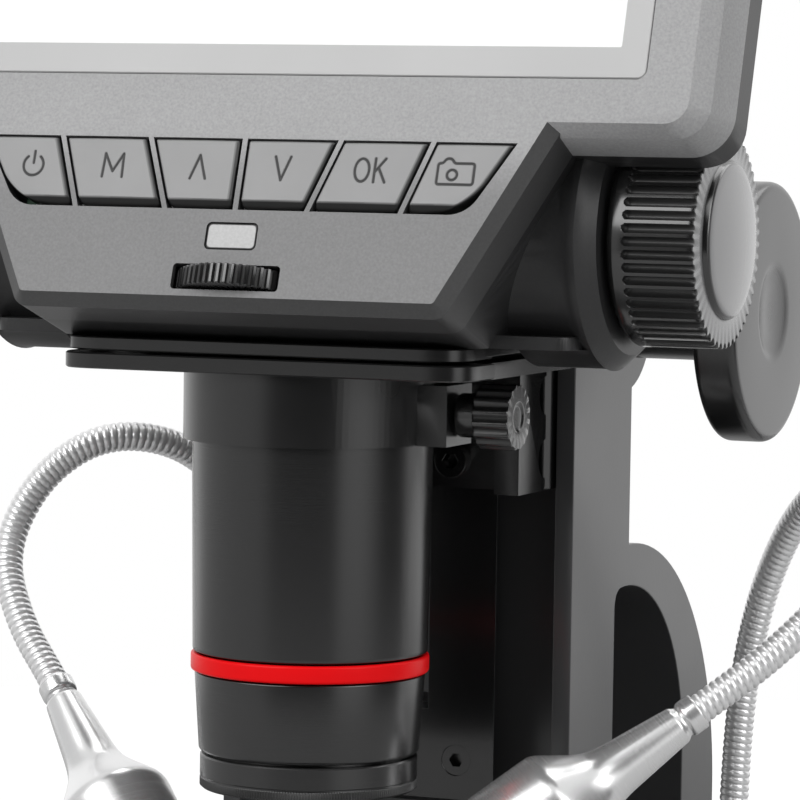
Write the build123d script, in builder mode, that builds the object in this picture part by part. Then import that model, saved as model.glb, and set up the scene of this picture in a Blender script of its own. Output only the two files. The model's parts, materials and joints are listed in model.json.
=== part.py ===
from build123d import *
import os
from math import acos, cos, degrees, pi, radians, sin, tan

# LCD digital microscope on a rack-and-pinion stand with two gooseneck lamps.
# Millimetres. +Z is up, the screen faces -Y, and +X is to the right of a person who looks at the screen.
# The origin lies on the table, straight below the lens: the lens axis is the Z axis.

os.makedirs("parts", exist_ok=True)

# ---------------------------------------------------------------- fits
sliding_gap = 0.10        # between dovetail or rack faces that slide
running_gap = 0.06        # radial, shaft in bush and barrel in clamp ring
panel_gap = 0.15          # round a key or window in its opening
clear_gap = 0.40          # between bodies that pass each other
merge_depth = 1.0         # how far a boss sinks into the piece that it grows from

# ---------------------------------------------------------------- base and stage
base_width = 124.0
base_depth = 204.0
base_rear_y = 112.0
base_corner_r = 14.0
base_edge = 1.8
pad_thick = 2.0
pad_inset = 3.0
base_thick = 10.0
base_top_z = pad_thick + base_thick
base_mid_y = base_rear_y - base_depth / 2
stage_r = 31.0
stage_thick = 2.4
stage_gap = 0.25
stage_edge = 0.5

# ---------------------------------------------------------------- column casting
column_half = 29.5
column_front_y = 33.6
column_depth = 26.9
column_top_z = 156.0
channel_wall = 3.0
channel_depth = 9.4
column_foot = 6.0
arch_outer_r = 46.0
arch_inner_r = 30.5
arch_crown_z = 100.2
arch_crown_thick = 6.7
arch_lead = 1.5           # the opening's centre lies this far ahead of the outer arc's
front_leg_depth = 20.4
opening_corner_r = 3.0
column_rear_y = column_front_y + column_depth
channel_floor_y = column_front_y + channel_depth
channel_half = column_half - channel_wall

# ---------------------------------------------------------------- height drive
pinion_module = 1.0
pinion_teeth = 12
pinion_pitch_r = pinion_module * pinion_teeth / 2
pinion_y = 57.0
pinion_z = 138.5
pinion_width = 8.0
pinion_housing_r = 13.5
pinion_end_gap = 1.0
tooth_thin = 0.30         # taken off each tooth's thickness, so that the mesh runs free
tooth_root = 1.25         # below the pitch line, in modules
tooth_tip = 0.85          # above the pitch line, in modules
tooth_sink = 0.05         # each tooth starts this far inside its blank, in modules
root_flank = 20.0         # degrees
tip_flank = 24.0          # degrees
height_shaft_r = 3.0
bush_wall = 2.5
bush_length = 7.0
bush_flange = 1.5
bush_flange_r = 8.0
height_knob_r = 20.5
height_knob_thick = 7.0
height_knob_face_x = 54.0
height_knob_hub_r = 8.0
height_knob_recess_r = 7.6
height_knob_recess = 1.4
height_knob_edge = 1.2

# ---------------------------------------------------------------- dovetail rail, carriage and rack
rail_front_half = 15.9
rail_root_half = 12.5
rail_thick = 6.5
rail_bottom_z = 60.0
rail_screw_r = 2.4
rail_screw_depth = 2.0
rail_screw_x = 9.5
rail_screw_inset = 7.0
rail_lead_in = 0.8
rack_side_gap = 0.6
rack_run_out = 2.0
tongue_inset = 2.0
rack_thick = 8.0
rack_bar_depth = 5.0
rack_bottom_z = 112.0
rack_top_z = 180.0
carriage_front_y = 31.6
carriage_bottom_z = 111.0
carriage_height = 39.0
carriage_edge = 1.0
travel_down = 35.0
travel_up = 15.0
rail_front_y = channel_floor_y - rail_thick
rack_pitch_y = pinion_y - pinion_pitch_r
rack_root_y = rack_pitch_y - tooth_root * pinion_module
rack_back_y = rack_root_y - rack_bar_depth
slot_half = rack_thick / 2 + rack_side_gap

# ---------------------------------------------------------------- bracket and clamp ring
ring_bottom_z = 120.0
ring_height = 10.6
ring_wall = 1.3
plate_thick = 2.4
plate_half = 32.7
plate_front_y = -15.0
plate_corner_r = 6.0
cheek_thick = 4.0
cheek_half = 25.5
cheek_front_y = 20.0
cheek_notch_r = 3.0
cheek_corner_r = 1.0
back_plate_thick = 3.5
bracket_screw_x = 12.0
bracket_screw_z = 5.5
bracket_screw_r = 2.6
bracket_screw_head = 2.4
bracket_screw_hex_r = 1.3
lug_x = 23.5
lug_width = 10.0
lug_height = 9.0
plate_bottom_z = ring_bottom_z + ring_height
plate_top_z = plate_bottom_z + plate_thick

# ---------------------------------------------------------------- clamp thumbscrew
thumb_screw_r = 1.5
thumb_neck_r = 3.3
thumb_neck_length = 3.4
thumb_head_r = 5.0
thumb_head_length = 5.6
thumb_ribs = 16
thumb_rib_r = 0.55

# ---------------------------------------------------------------- lens barrel
barrel_r = 18.1
barrel_low_r = 17.7
barrel_bore_r = 15.0
spigot_r = 13.0
spigot_bore_r = 11.0
spigot_height = 4.0
barrel_roof = 2.2
red_ring_top = 32.1       # below the clamp ring's underside
red_ring_height = 2.7
red_ring_proud = 0.25
red_ring_depth = 1.0
red_ring_edge = 0.3
barrel_step_drop = 1.0    # the barrel narrows from here down, below the clamp ring
nose_top_r = 17.35
nose_low_r = 16.6
nose_slit = 0.4
filter_ring_top = 47.4
filter_ring_height = 5.1
filter_ring_r = 16.4
filter_spigot = 2.2
filter_lip = 1.0
filter_lip_thick = 1.5
glass_r = 13.0
glass_thick = 1.5
flange_half_x = 32.0
flange_half_y = 15.0
flange_thick = 2.0
flange_corner_r = 4.0
flange_edge = 0.5
flange_screw_r = 0.9
flange_screw_x = 29.0
flange_screw_proud = 0.6
plinth_half_x = 46.3
plinth_half_y = 15.0
plinth_height = 1.9
plinth_corner_r = 3.0
pocket_half_x = 36.5
skirt_r = 19.1

# ---------------------------------------------------------------- head: places on the slanted face
# v runs up the face from the chin's lower edge, w runs out of the face.
face_tilt = 18.25
chin_y = -33.2
chin_z = 142.4
split_w = 9.0             # depth of the joint between front and rear housing
wall = 2.0
frame_wall = 2.4
display_half = 70.2
display_mid_inset = 1.5   # from the joint to the edge of the front bevel
display_mid_lift = 0.5
display_bevel = 2.5
display_front_inset = 4.0
display_front_lift = 2.0
display_bottom_v = 24.9
display_top_v = 113.6
display_thick = 17.5
display_corner_r = 6.0
display_mid_corner_r = 5.0
display_front_corner_r = 3.5
display_back_edge = 3.2
shoulder_rise = 45.0
shoulder_sink = 1.0
shoulder_step = 0.5
shoulder_back = 2.0
shoulder_inset = 2.0
window_half = 59.5
window_bottom_v = 33.3
window_top_v = 105.0
window_thick = 1.0
window_ledge = 2.4
window_corner_r = 1.5
active_half_x = 55.35
active_height = 62.3
active_bottom_v = 38.0
lcd_thick = 3.6
lcd_border = 4.0
lcd_step = 1.2
key_bottom_v = 13.0
key_top_v = 23.7
key_rib = 0.8
key_outer_top = 41.8
key_outer_low = 35.4
key_proud = 0.35
key_depth = 3.4
key_travel = 0.8
key_corner_r = 5.0
rib_top_x = (0.0, 15.0, 29.2)
rib_low_x = (0.0, 11.15, 25.5)
chin_low_half = 32.5
chin_slope = 0.5          # the chin widens this much on each side per millimetre up
chin_bevel = 1.8
chin_corner_r = 2.5
chin_overlap = 8.0        # how far the chin reaches up behind the display's lower edge
ir_v = 9.05
ir_half_x = 4.05
ir_half_v = 2.05
ir_thick = 1.5
ir_corner_r = 0.8
ir_receiver_half = 3.0
ir_receiver_edge = 0.5
key_lip = 0.8
key_lip_inset = 3.0
key_bevel = 0.35
key_low_bevel = 1.15
key_low_bevel_depth = 0.9
key_mat_thick = 0.8
key_mat_inset_x = 2.0
key_mat_inset_v = 0.4
key_mat_corner_r = 1.0
key_board_half = 36.0
key_board_top_v = 28.5
key_post_r = 1.8
key_post_x = 26.0
key_post_v = 26.4
key_board_thick = 1.2
connector_drop = 3.0
connector_length = 12.0
connector_width = 3.0
connector_height = 1.4
board_thick = 1.6
board_margin = 8.0
chip_size = 12.8
chip_height = 1.2
battery_width = 50.0
battery_height = 34.0
battery_corner_r = 2.0
screw_post_r = 2.5
screw_post_x = 62.0
screw_post_inset_v = 5.6
screw_head_r = 2.4
screw_head_height = 1.6
screw_shank_r = 1.2
port_height = 3.2
port_depth = 4.6
port_recess = 3.4
port_wall = 0.4
port_corner_r = 0.6
port_widths = (7.6, 11.4, 7.6)
port_spacing = 16.0
dimmer_v = 2.9
dimmer_slot_half = 8.4
dimmer_slot_height = 3.8
dimmer_slot_r = 0.6
dimmer_wheel_r = 10.2
dimmer_wheel_thick = 3.0
dimmer_wheel_depth = 7.5
dimmer_ribs = 44
dimmer_rib_depth = 0.5
dimmer_rib_width = 0.5
dimmer_stub_r = 1.5
dimmer_pot_half = 4.5
dimmer_pot_height = 3.6

# ---------------------------------------------------------------- head: knob housing and focus drive
knob_axis_z = 151.3
housing_r = 17.9
housing_half = 45.0
bore_end_wall = 1.0       # the round body's inside ends this far before its straight outside does
collar_r = 19.4
collar_x = 48.0
collar_face_x = 50.5
collar_face_r = 17.0
focus_knob_r = 15.7
focus_knob_inner_x = 51.2
focus_rib_start_x = 53.6
focus_knob_face_x = 64.4
focus_ribs = 48
focus_rib_depth = 0.8
focus_rib_end = 0.8       # the grooves stop this far before the face
focus_knob_edge = 0.6
focus_dish_r = 11.7
focus_dish_depth = 1.6
focus_dish_taper = 20.0   # degrees
focus_shaft_r = 2.0
focus_bush_r = 4.0
focus_module = 0.6
focus_teeth = 10
focus_pitch_r = focus_module * focus_teeth / 2
focus_pinion_width = 5.0
focus_tooth_thin = 0.20
focus_half_turn = 90.0    # degrees each way
focus_rib_width = 1.4     # of the grooves between the ribs
focus_shaft_end_x = 60.0

# ---------------------------------------------------------------- lens unit inside the barrel
focus_travel = focus_pitch_r * radians(focus_half_turn)
lens_tube_top_z = 124.0
lens_tube_length = 40.0
lens_tube_wall = 2.0
lens_ledge_r = 10.0
lens_ledge_thick = 3.0
objective_r = 7.0
objective_wall = 2.0
objective_nose = 6.0
objective_thick = 3.2
objective_sag = 1.0
objective_recess = 1.0
sensor_board_thick = 1.6
sensor_chip_half = 4.0
sensor_chip_height = 0.9
focus_rack_top_z = 160.5
focus_rack_half = 2.2
focus_rack_depth = 3.0
focus_rack_foot = 2.0
focus_rack_foot_y = 12.0

# ---------------------------------------------------------------- lamps
arm_r = 2.4
socket_gap = 4.0          # from the column's side to the socket
socket_y = 84.0
socket_r = 6.5
socket_height = 14.0
socket_floor = 4.0
socket_edge = 1.5
socket_x = column_half + socket_gap + socket_r
lamp_bead_r = 2.9
lamp_bead_length = 3.0
lamp_cone_length = 14.0
lamp_cone_r = 4.4
lamp_flare_length = 7.7
lamp_head_r = 9.35
lamp_head_length = 14.0
lamp_wall = 1.2
lamp_lens_inset = 1.0
lamp_lens_thick = 1.6
lamp_socket_depth = 2.5
lamp_offset = 1.2         # from the arm's last bend to the lamp's tail
lamp_cavity_depth = 13.0
lamp_led_board = 1.0
lamp_led_r = 2.5
lamp_led_height = 1.4

# The arms keep the bends they were given by hand, from the socket to the lamp.
# Each point is how far it lies outside its socket and behind the socket, and its height.
left_arm_bends = [
    (0, 0, 16), (0, 0, 48), (0, -4, 76), (0.5, -16, 99), (2.5, -32.5, 112.9), (13.5, -42.5, 116.4),
    (24, -47.5, 109.5), (29, -52, 96.6), (23, -57, 85.4), (15, -61, 77.5),
]
right_arm_bends = [
    (0, 0, 16), (0, 0, 50), (2, 0, 82), (10, -4, 103), (23, -15, 114), (33, -31, 112),
    (33, -44, 100), (24, -52, 88.5), (14, -58, 80),
]
left_lamp_aim = (0.62, -0.40, -0.68)
right_lamp_aim = (-0.70, -0.42, -0.58)

# ---------------------------------------------------------------- planes and small helpers
tilt = radians(face_tilt)
face = Plane(origin=(0, chin_y, chin_z), x_dir=(1, 0, 0), z_dir=(0, -cos(tilt), sin(tilt)))
inward = Axis((0, 0, 0), (0, cos(tilt), -sin(tilt)))


def face_place(y, z):
    """Turn a point of the YZ plane into v and w on the slanted face."""
    back, up = y - chin_y, z - chin_z
    return back * sin(tilt) + up * cos(tilt), -back * cos(tilt) + up * sin(tilt)


def slant(v, w):
    """Turn v and w on the slanted face into a point of the YZ plane."""
    return chin_y + v * sin(tilt) - w * cos(tilt), chin_z + v * cos(tilt) + w * sin(tilt)


def axial_plane(origin, direction):
    """Plane through an axis, with local y along the axis and local x as radius."""
    along = Vector(*direction).normalized()
    radial = along.cross(Vector(0, 0, 1)).normalized() if abs(along.Z) < 0.99 else Vector(1, 0, 0)
    return Plane(origin=origin, x_dir=radial, z_dir=radial.cross(along))


def bend_radii(points):
    """Largest radius for each corner of a bent tube: 0.45 of the shorter run, by half the turn."""
    radii = []
    for before, here, after in zip(points, points[1:], points[2:]):
        inward = Vector(*here) - Vector(*before)
        outward = Vector(*after) - Vector(*here)
        turn = radians(inward.get_angle(outward))
        radii.append(0.45 * min(inward.length, outward.length) / tan(turn / 2))
    return radii


def tooth_outline(pitch_r, module, thickness_cut):
    """One straight-flanked gear tooth, as four points about the pitch circle on +X."""
    half = pi * module / 4 - thickness_cut / 2
    root_half = half + tooth_root * module * tan(radians(root_flank))
    tip_half = half - tooth_tip * module * tan(radians(tip_flank))
    root = pitch_r - tooth_root * module
    tip = pitch_r + tooth_tip * module
    return [(root, -root_half), (tip, -tip_half), (tip, tip_half), (root, root_half)]


knob_v, knob_w = face_place(0, knob_axis_z)
key_back_w = key_proud - key_depth
mat_w = key_back_w - key_travel - panel_gap
key_board_w = mat_w - key_mat_thick
pot_low_v = dimmer_v + dimmer_wheel_thick / 2 + clear_gap
pot_top_v = pot_low_v + dimmer_pot_height
plate_rear_y = carriage_front_y
flange_bottom_z = plate_top_z + clear_gap
flange_top_z = flange_bottom_z + flange_thick
head_floor_z = flange_top_z + wall
filter_bottom_z = ring_bottom_z - filter_ring_top - filter_ring_height

# ================================================================ stand: pad, base and stage
with BuildPart() as base_pad:
    with BuildSketch(Plane.XY):
        with Locations((0, base_mid_y)):
            RectangleRounded(base_width - 2 * pad_inset, base_depth - 2 * pad_inset,
                             base_corner_r - pad_inset)
    extrude(amount=pad_thick)
base_pad.part.label = "base_pad"
export_step(base_pad.part, "parts/base_pad.step")

with BuildPart() as base_plate:
    with BuildSketch(Plane.XY.offset(pad_thick)):
        with Locations((0, base_mid_y)):
            RectangleRounded(base_width, base_depth, base_corner_r)
    extrude(amount=base_thick)
    chamfer(base_plate.faces().sort_by(Axis.Z)[-1].edges(), base_edge)
    with BuildSketch(Plane.XY.offset(base_top_z)):
        Circle(stage_r + stage_gap)
    extrude(amount=-stage_thick, mode=Mode.SUBTRACT)
base_plate.part.label = "base_plate"
export_step(base_plate.part, "parts/base_plate.step")

with BuildPart() as stage_plate:
    with BuildSketch(Plane.XY.offset(base_top_z - stage_thick)):
        Circle(stage_r)
    extrude(amount=stage_thick)
    chamfer(stage_plate.faces().sort_by(Axis.Z)[-1].edges(), stage_edge)
stage_plate.part.label = "stage_plate"
export_step(stage_plate.part, "parts/stage_plate.step")

# ================================================================ stand: column casting
# Seen from the side it is an upright with a thick arched leg behind it. The opening under the arch
# goes right through, and a channel in front holds the rail.
arch_centre_z = arch_crown_z - arch_outer_r
opening_centre = (column_rear_y - arch_lead, arch_crown_z - arch_crown_thick - arch_inner_r)
opening_front_y = column_front_y + front_leg_depth
opening_sweep = degrees(acos((opening_front_y - opening_centre[0]) / arch_inner_r))
opening_floor_z = base_top_z + column_foot
opening_rear_y = opening_centre[0] + arch_inner_r
column_slot_bottom_z = rack_bottom_z - travel_down - rack_run_out

with BuildPart() as column:
    with BuildSketch(Plane.YZ):
        with BuildLine():
            Polyline((column_rear_y, arch_crown_z), (column_rear_y, column_top_z), (column_front_y, column_top_z),
                     (column_front_y, base_top_z), (column_rear_y + arch_outer_r, base_top_z),
                     (column_rear_y + arch_outer_r, arch_centre_z))
            CenterArc((column_rear_y, arch_centre_z), arch_outer_r, 0, 90)
        make_face()
        with Locations((pinion_y, pinion_z)):
            Circle(pinion_housing_r)
    extrude(amount=column_half, both=True)
    with BuildSketch(Plane.YZ) as arch_opening:
        with BuildLine():
            crown = CenterArc(opening_centre, arch_inner_r, 0, opening_sweep)
            Polyline(crown @ 1, (opening_front_y, opening_floor_z), (opening_rear_y, opening_floor_z),
                     crown @ 0)
        make_face()
        fillet(arch_opening.vertices().sort_by(Axis.X)[:2], opening_corner_r)
    extrude(amount=column_half, both=True, mode=Mode.SUBTRACT)
    with BuildSketch(Plane.XY.offset(opening_floor_z)):
        with Locations((0, column_front_y + channel_depth / 2)):
            Rectangle(2 * channel_half, channel_depth)
    extrude(amount=column_top_z - opening_floor_z, mode=Mode.SUBTRACT)
    slot_depth = pinion_y - channel_floor_y
    with BuildSketch(Plane.XY.offset(column_slot_bottom_z)):
        with Locations((0, channel_floor_y + slot_depth / 2)):
            Rectangle(2 * slot_half, slot_depth)
    extrude(amount=column_top_z - column_slot_bottom_z, mode=Mode.SUBTRACT)
    with BuildSketch(Plane.YZ):
        with Locations((pinion_y, pinion_z)):
            Circle(pinion_pitch_r + 2 * pinion_module)
    extrude(amount=pinion_width / 2 + pinion_end_gap, both=True, mode=Mode.SUBTRACT)
    with BuildSketch(Plane.YZ):
        with Locations((pinion_y, pinion_z)):
            Circle(height_shaft_r + bush_wall)
    extrude(amount=column_half, both=True, mode=Mode.SUBTRACT)
column.part.label = "column"
export_step(column.part, "parts/column.step")

# The rail is a dovetail with a slot down its middle for the rack's tongue.
rail_screw_places = [(x, z) for x in (-rail_screw_x, rail_screw_x)
                     for z in (rail_bottom_z + rail_screw_inset, column_top_z - rail_screw_inset)]
with BuildPart() as rail:
    with BuildSketch(Plane.XY.offset(rail_bottom_z)):
        with BuildLine():
            Polyline((-rail_root_half, channel_floor_y), (-rail_front_half, rail_front_y),
                     (rail_front_half, rail_front_y), (rail_root_half, channel_floor_y), close=True)
        make_face()
    extrude(amount=column_top_z - rail_bottom_z)
    with BuildSketch(Plane.XY.offset(column_slot_bottom_z)):
        with Locations((0, channel_floor_y - rail_thick / 2)):
            Rectangle(2 * slot_half, rail_thick)
    extrude(amount=column_top_z - column_slot_bottom_z, mode=Mode.SUBTRACT)
    with BuildSketch(Plane.XZ.offset(-rail_front_y)):
        with Locations(*rail_screw_places):
            Circle(rail_screw_r)
    extrude(amount=-rail_screw_depth, mode=Mode.SUBTRACT)
    chamfer(rail.faces().sort_by(Axis.Z)[0].edges().filter_by(Axis.X), rail_lead_in)
rail.part.label = "dovetail_rail"
export_step(rail.part, "parts/dovetail_rail.step")

with BuildPart() as pinion_bushes:
    for side in (-1, 1):
        with BuildSketch(Plane.YZ.offset(side * (column_half - bush_length))):
            with Locations((pinion_y, pinion_z)):
                Circle(height_shaft_r + bush_wall)
                Circle(height_shaft_r + running_gap, mode=Mode.SUBTRACT)
        extrude(amount=side * bush_length)
        with BuildSketch(Plane.YZ.offset(side * column_half)):
            with Locations((pinion_y, pinion_z)):
                Circle(bush_flange_r)
                Circle(height_shaft_r + running_gap, mode=Mode.SUBTRACT)
        extrude(amount=side * bush_flange)
pinion_bushes.part.label = "pinion_bushes"
export_step(pinion_bushes.part, "parts/pinion_bushes.step")

with BuildPart() as lamp_sockets:
    with BuildSketch(Plane.XY.offset(base_top_z)):
        with Locations((-socket_x, socket_y), (socket_x, socket_y)):
            Circle(socket_r)
    extrude(amount=socket_height)
    chamfer(lamp_sockets.faces().filter_by(Axis.Z).sort_by(Axis.Z)[-2:].edges(), socket_edge)
    with BuildSketch(Plane.XY.offset(base_top_z + socket_floor)):
        with Locations((-socket_x, socket_y), (socket_x, socket_y)):
            Circle(arm_r + sliding_gap)
    extrude(amount=socket_height - socket_floor, mode=Mode.SUBTRACT)
lamp_sockets.part.label = "lamp_sockets"
export_step(lamp_sockets.part, "parts/lamp_sockets.step")

# ================================================================ height drive
with BuildPart() as height_shaft:
    with BuildSketch(Plane.YZ):
        with Locations((pinion_y, pinion_z)):
            Circle(height_shaft_r)
    extrude(amount=height_knob_face_x - height_knob_thick / 2, both=True)
    with BuildSketch(Plane.YZ):
        with Locations((pinion_y, pinion_z)):
            Circle(pinion_pitch_r - (tooth_root - tooth_sink) * pinion_module)
            with PolarLocations(0, pinion_teeth, start_angle=180):
                Polygon(*tooth_outline(pinion_pitch_r, pinion_module, tooth_thin), align=None)
    extrude(amount=pinion_width / 2, both=True)
height_shaft.part.label = "height_pinion_shaft"
export_step(height_shaft.part, "parts/height_pinion_shaft.step")

for side, name in ((-1, "height_knob_left"), (1, "height_knob_right")):
    inner_x = height_knob_face_x - height_knob_thick
    with BuildPart() as height_knob:
        with BuildSketch(Plane.YZ.offset(side * inner_x)):
            with Locations((pinion_y, pinion_z)):
                Circle(height_knob_r)
        extrude(amount=side * height_knob_thick)
        chamfer(height_knob.edges().filter_by(GeomType.CIRCLE), height_knob_edge)
        with BuildSketch(Plane.YZ.offset(side * (column_half + bush_flange + clear_gap))):
            with Locations((pinion_y, pinion_z)):
                Circle(height_knob_hub_r)
        extrude(amount=side * (inner_x - column_half - bush_flange - clear_gap + merge_depth))
        with BuildSketch(Plane.YZ.offset(side * height_knob_face_x)):
            with Locations((pinion_y, pinion_z)):
                Circle(height_knob_recess_r)
        extrude(amount=-side * height_knob_recess, mode=Mode.SUBTRACT)
        with BuildSketch(Plane.YZ):
            with Locations((pinion_y, pinion_z)):
                Circle(height_shaft_r)
        extrude(amount=side * (height_knob_face_x - height_knob_thick / 2), mode=Mode.SUBTRACT)
    height_knob.part.label = name
    export_step(height_knob.part, f"parts/{name}.step")

# ================================================================ carriage, rack and bracket
with BuildPart() as carriage:
    block_depth = channel_floor_y - clear_gap - carriage_front_y
    with BuildSketch(Plane.XY.offset(carriage_bottom_z)):
        with Locations((0, carriage_front_y + block_depth / 2)):
            Rectangle(2 * (channel_half - clear_gap), block_depth)
        with BuildLine():
            spread = sliding_gap
            Polyline((-rail_root_half - spread, channel_floor_y), (-rail_front_half - spread, rail_front_y - spread),
                     (rail_front_half + spread, rail_front_y - spread), (rail_root_half + spread, channel_floor_y),
                     close=True)
        make_face(mode=Mode.SUBTRACT)
    extrude(amount=carriage_height)
    chamfer(carriage.edges().filter_by(Axis.Z).group_by(Axis.Y)[0], carriage_edge)
carriage.part.label = "carriage_block"
export_step(carriage.part, "parts/carriage_block.step")

# The rack's teeth stand in the pinion's gaps when the carriage is at rest.
rack_pitch = pi * pinion_module
with BuildPart() as rack:
    tooth = tooth_outline(0, pinion_module, tooth_thin)
    with BuildSketch(Plane.YZ):
        with Locations(((rack_back_y + rack_root_y) / 2, (rack_bottom_z + rack_top_z) / 2)):
            Rectangle(rack_root_y - rack_back_y, rack_top_z - rack_bottom_z)
        below = int((pinion_z - rack_bottom_z) / rack_pitch - 1)
        above = int((rack_top_z - pinion_z) / rack_pitch - 1)
        places = [(rack_pitch_y, pinion_z + (n + 0.5) * rack_pitch) for n in range(-below, above)]
        with Locations(*places):
            Polygon(*[(y - tooth_sink * pinion_module, z) for y, z in tooth], align=None)
        tongue_depth = rack_back_y - rail_front_y + sliding_gap
        with Locations((rack_back_y - tongue_depth / 2, carriage_bottom_z + carriage_height / 2)):
            Rectangle(tongue_depth, carriage_height - 2 * tongue_inset)
    extrude(amount=rack_thick / 2, both=True)
rack.part.label = "carriage_rack"
export_step(rack.part, "parts/carriage_rack.step")

cheek_height = plate_bottom_z - carriage_bottom_z
with BuildPart() as bracket:
    plate_depth = plate_rear_y - plate_front_y
    with BuildSketch(Plane.XY.offset(plate_bottom_z)) as plate_outline:
        with Locations((0, plate_front_y + plate_depth / 2)):
            Rectangle(2 * plate_half, plate_depth)
        fillet(plate_outline.vertices().group_by(Axis.Y)[0], plate_corner_r)
        Circle(barrel_r + clear_gap, mode=Mode.SUBTRACT)
    extrude(amount=plate_thick)
    with BuildSketch(Plane.YZ.offset(-cheek_half)) as cheek_outline:
        with Locations(((cheek_front_y + plate_rear_y) / 2, carriage_bottom_z + cheek_height / 2)):
            Rectangle(plate_rear_y - cheek_front_y, cheek_height)
        fillet(cheek_outline.vertices().group_by(Axis.Y)[0].sort_by(Axis.Z)[0], cheek_corner_r)
        with Locations((plate_rear_y, carriage_bottom_z + cheek_height / 4),
                       (plate_rear_y, plate_bottom_z - cheek_height / 4)):
            Circle(cheek_notch_r, mode=Mode.SUBTRACT)
    extrude(amount=cheek_thick)
    mirror(about=Plane.YZ)
    with BuildSketch(Plane.XY.offset(carriage_bottom_z)):
        with Locations((0, plate_rear_y - back_plate_thick / 2)):
            Rectangle(2 * (cheek_half - cheek_thick), back_plate_thick)
    extrude(amount=cheek_height)
bracket.part.label = "bracket"
export_step(bracket.part, "parts/bracket.step")

with BuildPart() as bracket_screws:
    with BuildSketch(Plane.XZ.offset(-(plate_rear_y - back_plate_thick))):
        with Locations((0, carriage_bottom_z + cheek_height / 2)):
            with GridLocations(2 * bracket_screw_x, 2 * bracket_screw_z, 2, 2):
                Circle(bracket_screw_r)
                RegularPolygon(bracket_screw_hex_r, 6, mode=Mode.SUBTRACT)
    extrude(amount=bracket_screw_head)
bracket_screws.part.label = "bracket_screws"
export_step(bracket_screws.part, "parts/bracket_screws.step")

with BuildPart() as clamp_ring:
    ring_inner_r = barrel_r + running_gap
    with BuildSketch(Plane.XY.offset(ring_bottom_z)):
        Circle(ring_inner_r + ring_wall)
    extrude(amount=ring_height)
    with BuildSketch(Plane.XY.offset(ring_bottom_z)):
        with Locations(((ring_inner_r + lug_x) / 2, 0)):
            Rectangle(lug_x - ring_inner_r, lug_width)
    extrude(amount=lug_height)
    with BuildSketch(Plane.XY.offset(ring_bottom_z)):
        Circle(ring_inner_r)
    extrude(amount=ring_height, mode=Mode.SUBTRACT)
    with BuildSketch(Plane.YZ.offset(lug_x)):
        with Locations((0, ring_bottom_z + lug_height / 2)):
            Circle(thumb_screw_r + running_gap)
    extrude(amount=-(lug_x - ring_inner_r + ring_wall), mode=Mode.SUBTRACT)
clamp_ring.part.label = "clamp_ring"
export_step(clamp_ring.part, "parts/clamp_ring.step")

# ================================================================ clamp thumbscrew
with BuildPart() as thumbscrew:
    screw_z = ring_bottom_z + lug_height / 2
    screw_start_x = barrel_r + clear_gap
    neck_x = lug_x + clear_gap
    head_x = neck_x + thumb_neck_length
    with BuildSketch(Plane.YZ.offset(screw_start_x)):
        with Locations((0, screw_z)):
            Circle(thumb_screw_r)
    extrude(amount=neck_x - screw_start_x + merge_depth)
    with BuildSketch(Plane.YZ.offset(neck_x)):
        with Locations((0, screw_z)):
            Circle(thumb_neck_r)
    extrude(amount=thumb_neck_length)
    with BuildSketch(Plane.YZ.offset(head_x)):
        with Locations((0, screw_z)):
            Circle(thumb_head_r)
            with PolarLocations(thumb_head_r, thumb_ribs):
                Circle(thumb_rib_r, mode=Mode.SUBTRACT)
    extrude(amount=thumb_head_length)
thumbscrew.part.label = "clamp_thumbscrew"
export_step(thumbscrew.part, "parts/clamp_thumbscrew.step")

# ================================================================ lens barrel, rings and flange
with BuildPart() as barrel:
    red_top_z = ring_bottom_z - red_ring_top
    red_low_z = red_top_z - red_ring_height
    nose_low_z = ring_bottom_z - filter_ring_top + nose_slit
    groove_r = barrel_low_r - red_ring_depth
    with BuildSketch(Plane.XZ):
        with BuildLine():
            roof_z = flange_bottom_z - barrel_roof
            Polyline((spigot_bore_r, flange_bottom_z + spigot_height), (spigot_r, flange_bottom_z + spigot_height),
                     (spigot_r, flange_bottom_z), (barrel_r, flange_bottom_z),
                     (barrel_r, ring_bottom_z - barrel_step_drop),
                     (barrel_low_r, red_top_z), (groove_r, red_top_z), (groove_r, red_low_z),
                     (nose_top_r, red_low_z), (nose_low_r, nose_low_z), (barrel_bore_r, nose_low_z),
                     (barrel_bore_r, roof_z), (spigot_bore_r, roof_z), close=True)
        make_face()
    revolve(axis=Axis.Z)
barrel.part.label = "lens_barrel"
export_step(barrel.part, "parts/lens_barrel.step")

with BuildPart() as red_ring:
    with BuildSketch(Plane.XY.offset(red_low_z)):
        Circle(barrel_low_r + red_ring_proud)
        Circle(groove_r, mode=Mode.SUBTRACT)
    extrude(amount=red_ring_height)
    chamfer(red_ring.edges().filter_by(GeomType.CIRCLE).sort_by(SortBy.RADIUS)[-2:], red_ring_edge)
red_ring.part.label = "red_ring"
export_step(red_ring.part, "parts/red_ring.step")

with BuildPart() as filter_ring:
    ring_top_z = ring_bottom_z - filter_ring_top
    with BuildSketch(Plane.XZ):
        with BuildLine():
            spigot_r_out = barrel_bore_r - running_gap
            lip_top_z = filter_bottom_z + filter_lip_thick
            Polyline((glass_r - filter_lip, filter_bottom_z), (filter_ring_r, filter_bottom_z),
                     (filter_ring_r, ring_top_z), (spigot_r_out, ring_top_z),
                     (spigot_r_out, ring_top_z + filter_spigot), (glass_r, ring_top_z + filter_spigot),
                     (glass_r, lip_top_z), (glass_r - filter_lip, lip_top_z), close=True)
        make_face()
    revolve(axis=Axis.Z)
filter_ring.part.label = "filter_ring"
export_step(filter_ring.part, "parts/filter_ring.step")

with BuildPart() as protective_glass:
    with BuildSketch(Plane.XY.offset(lip_top_z)):
        Circle(glass_r)
    extrude(amount=glass_thick)
protective_glass.part.label = "protective_glass"
export_step(protective_glass.part, "parts/protective_glass.step")

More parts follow.
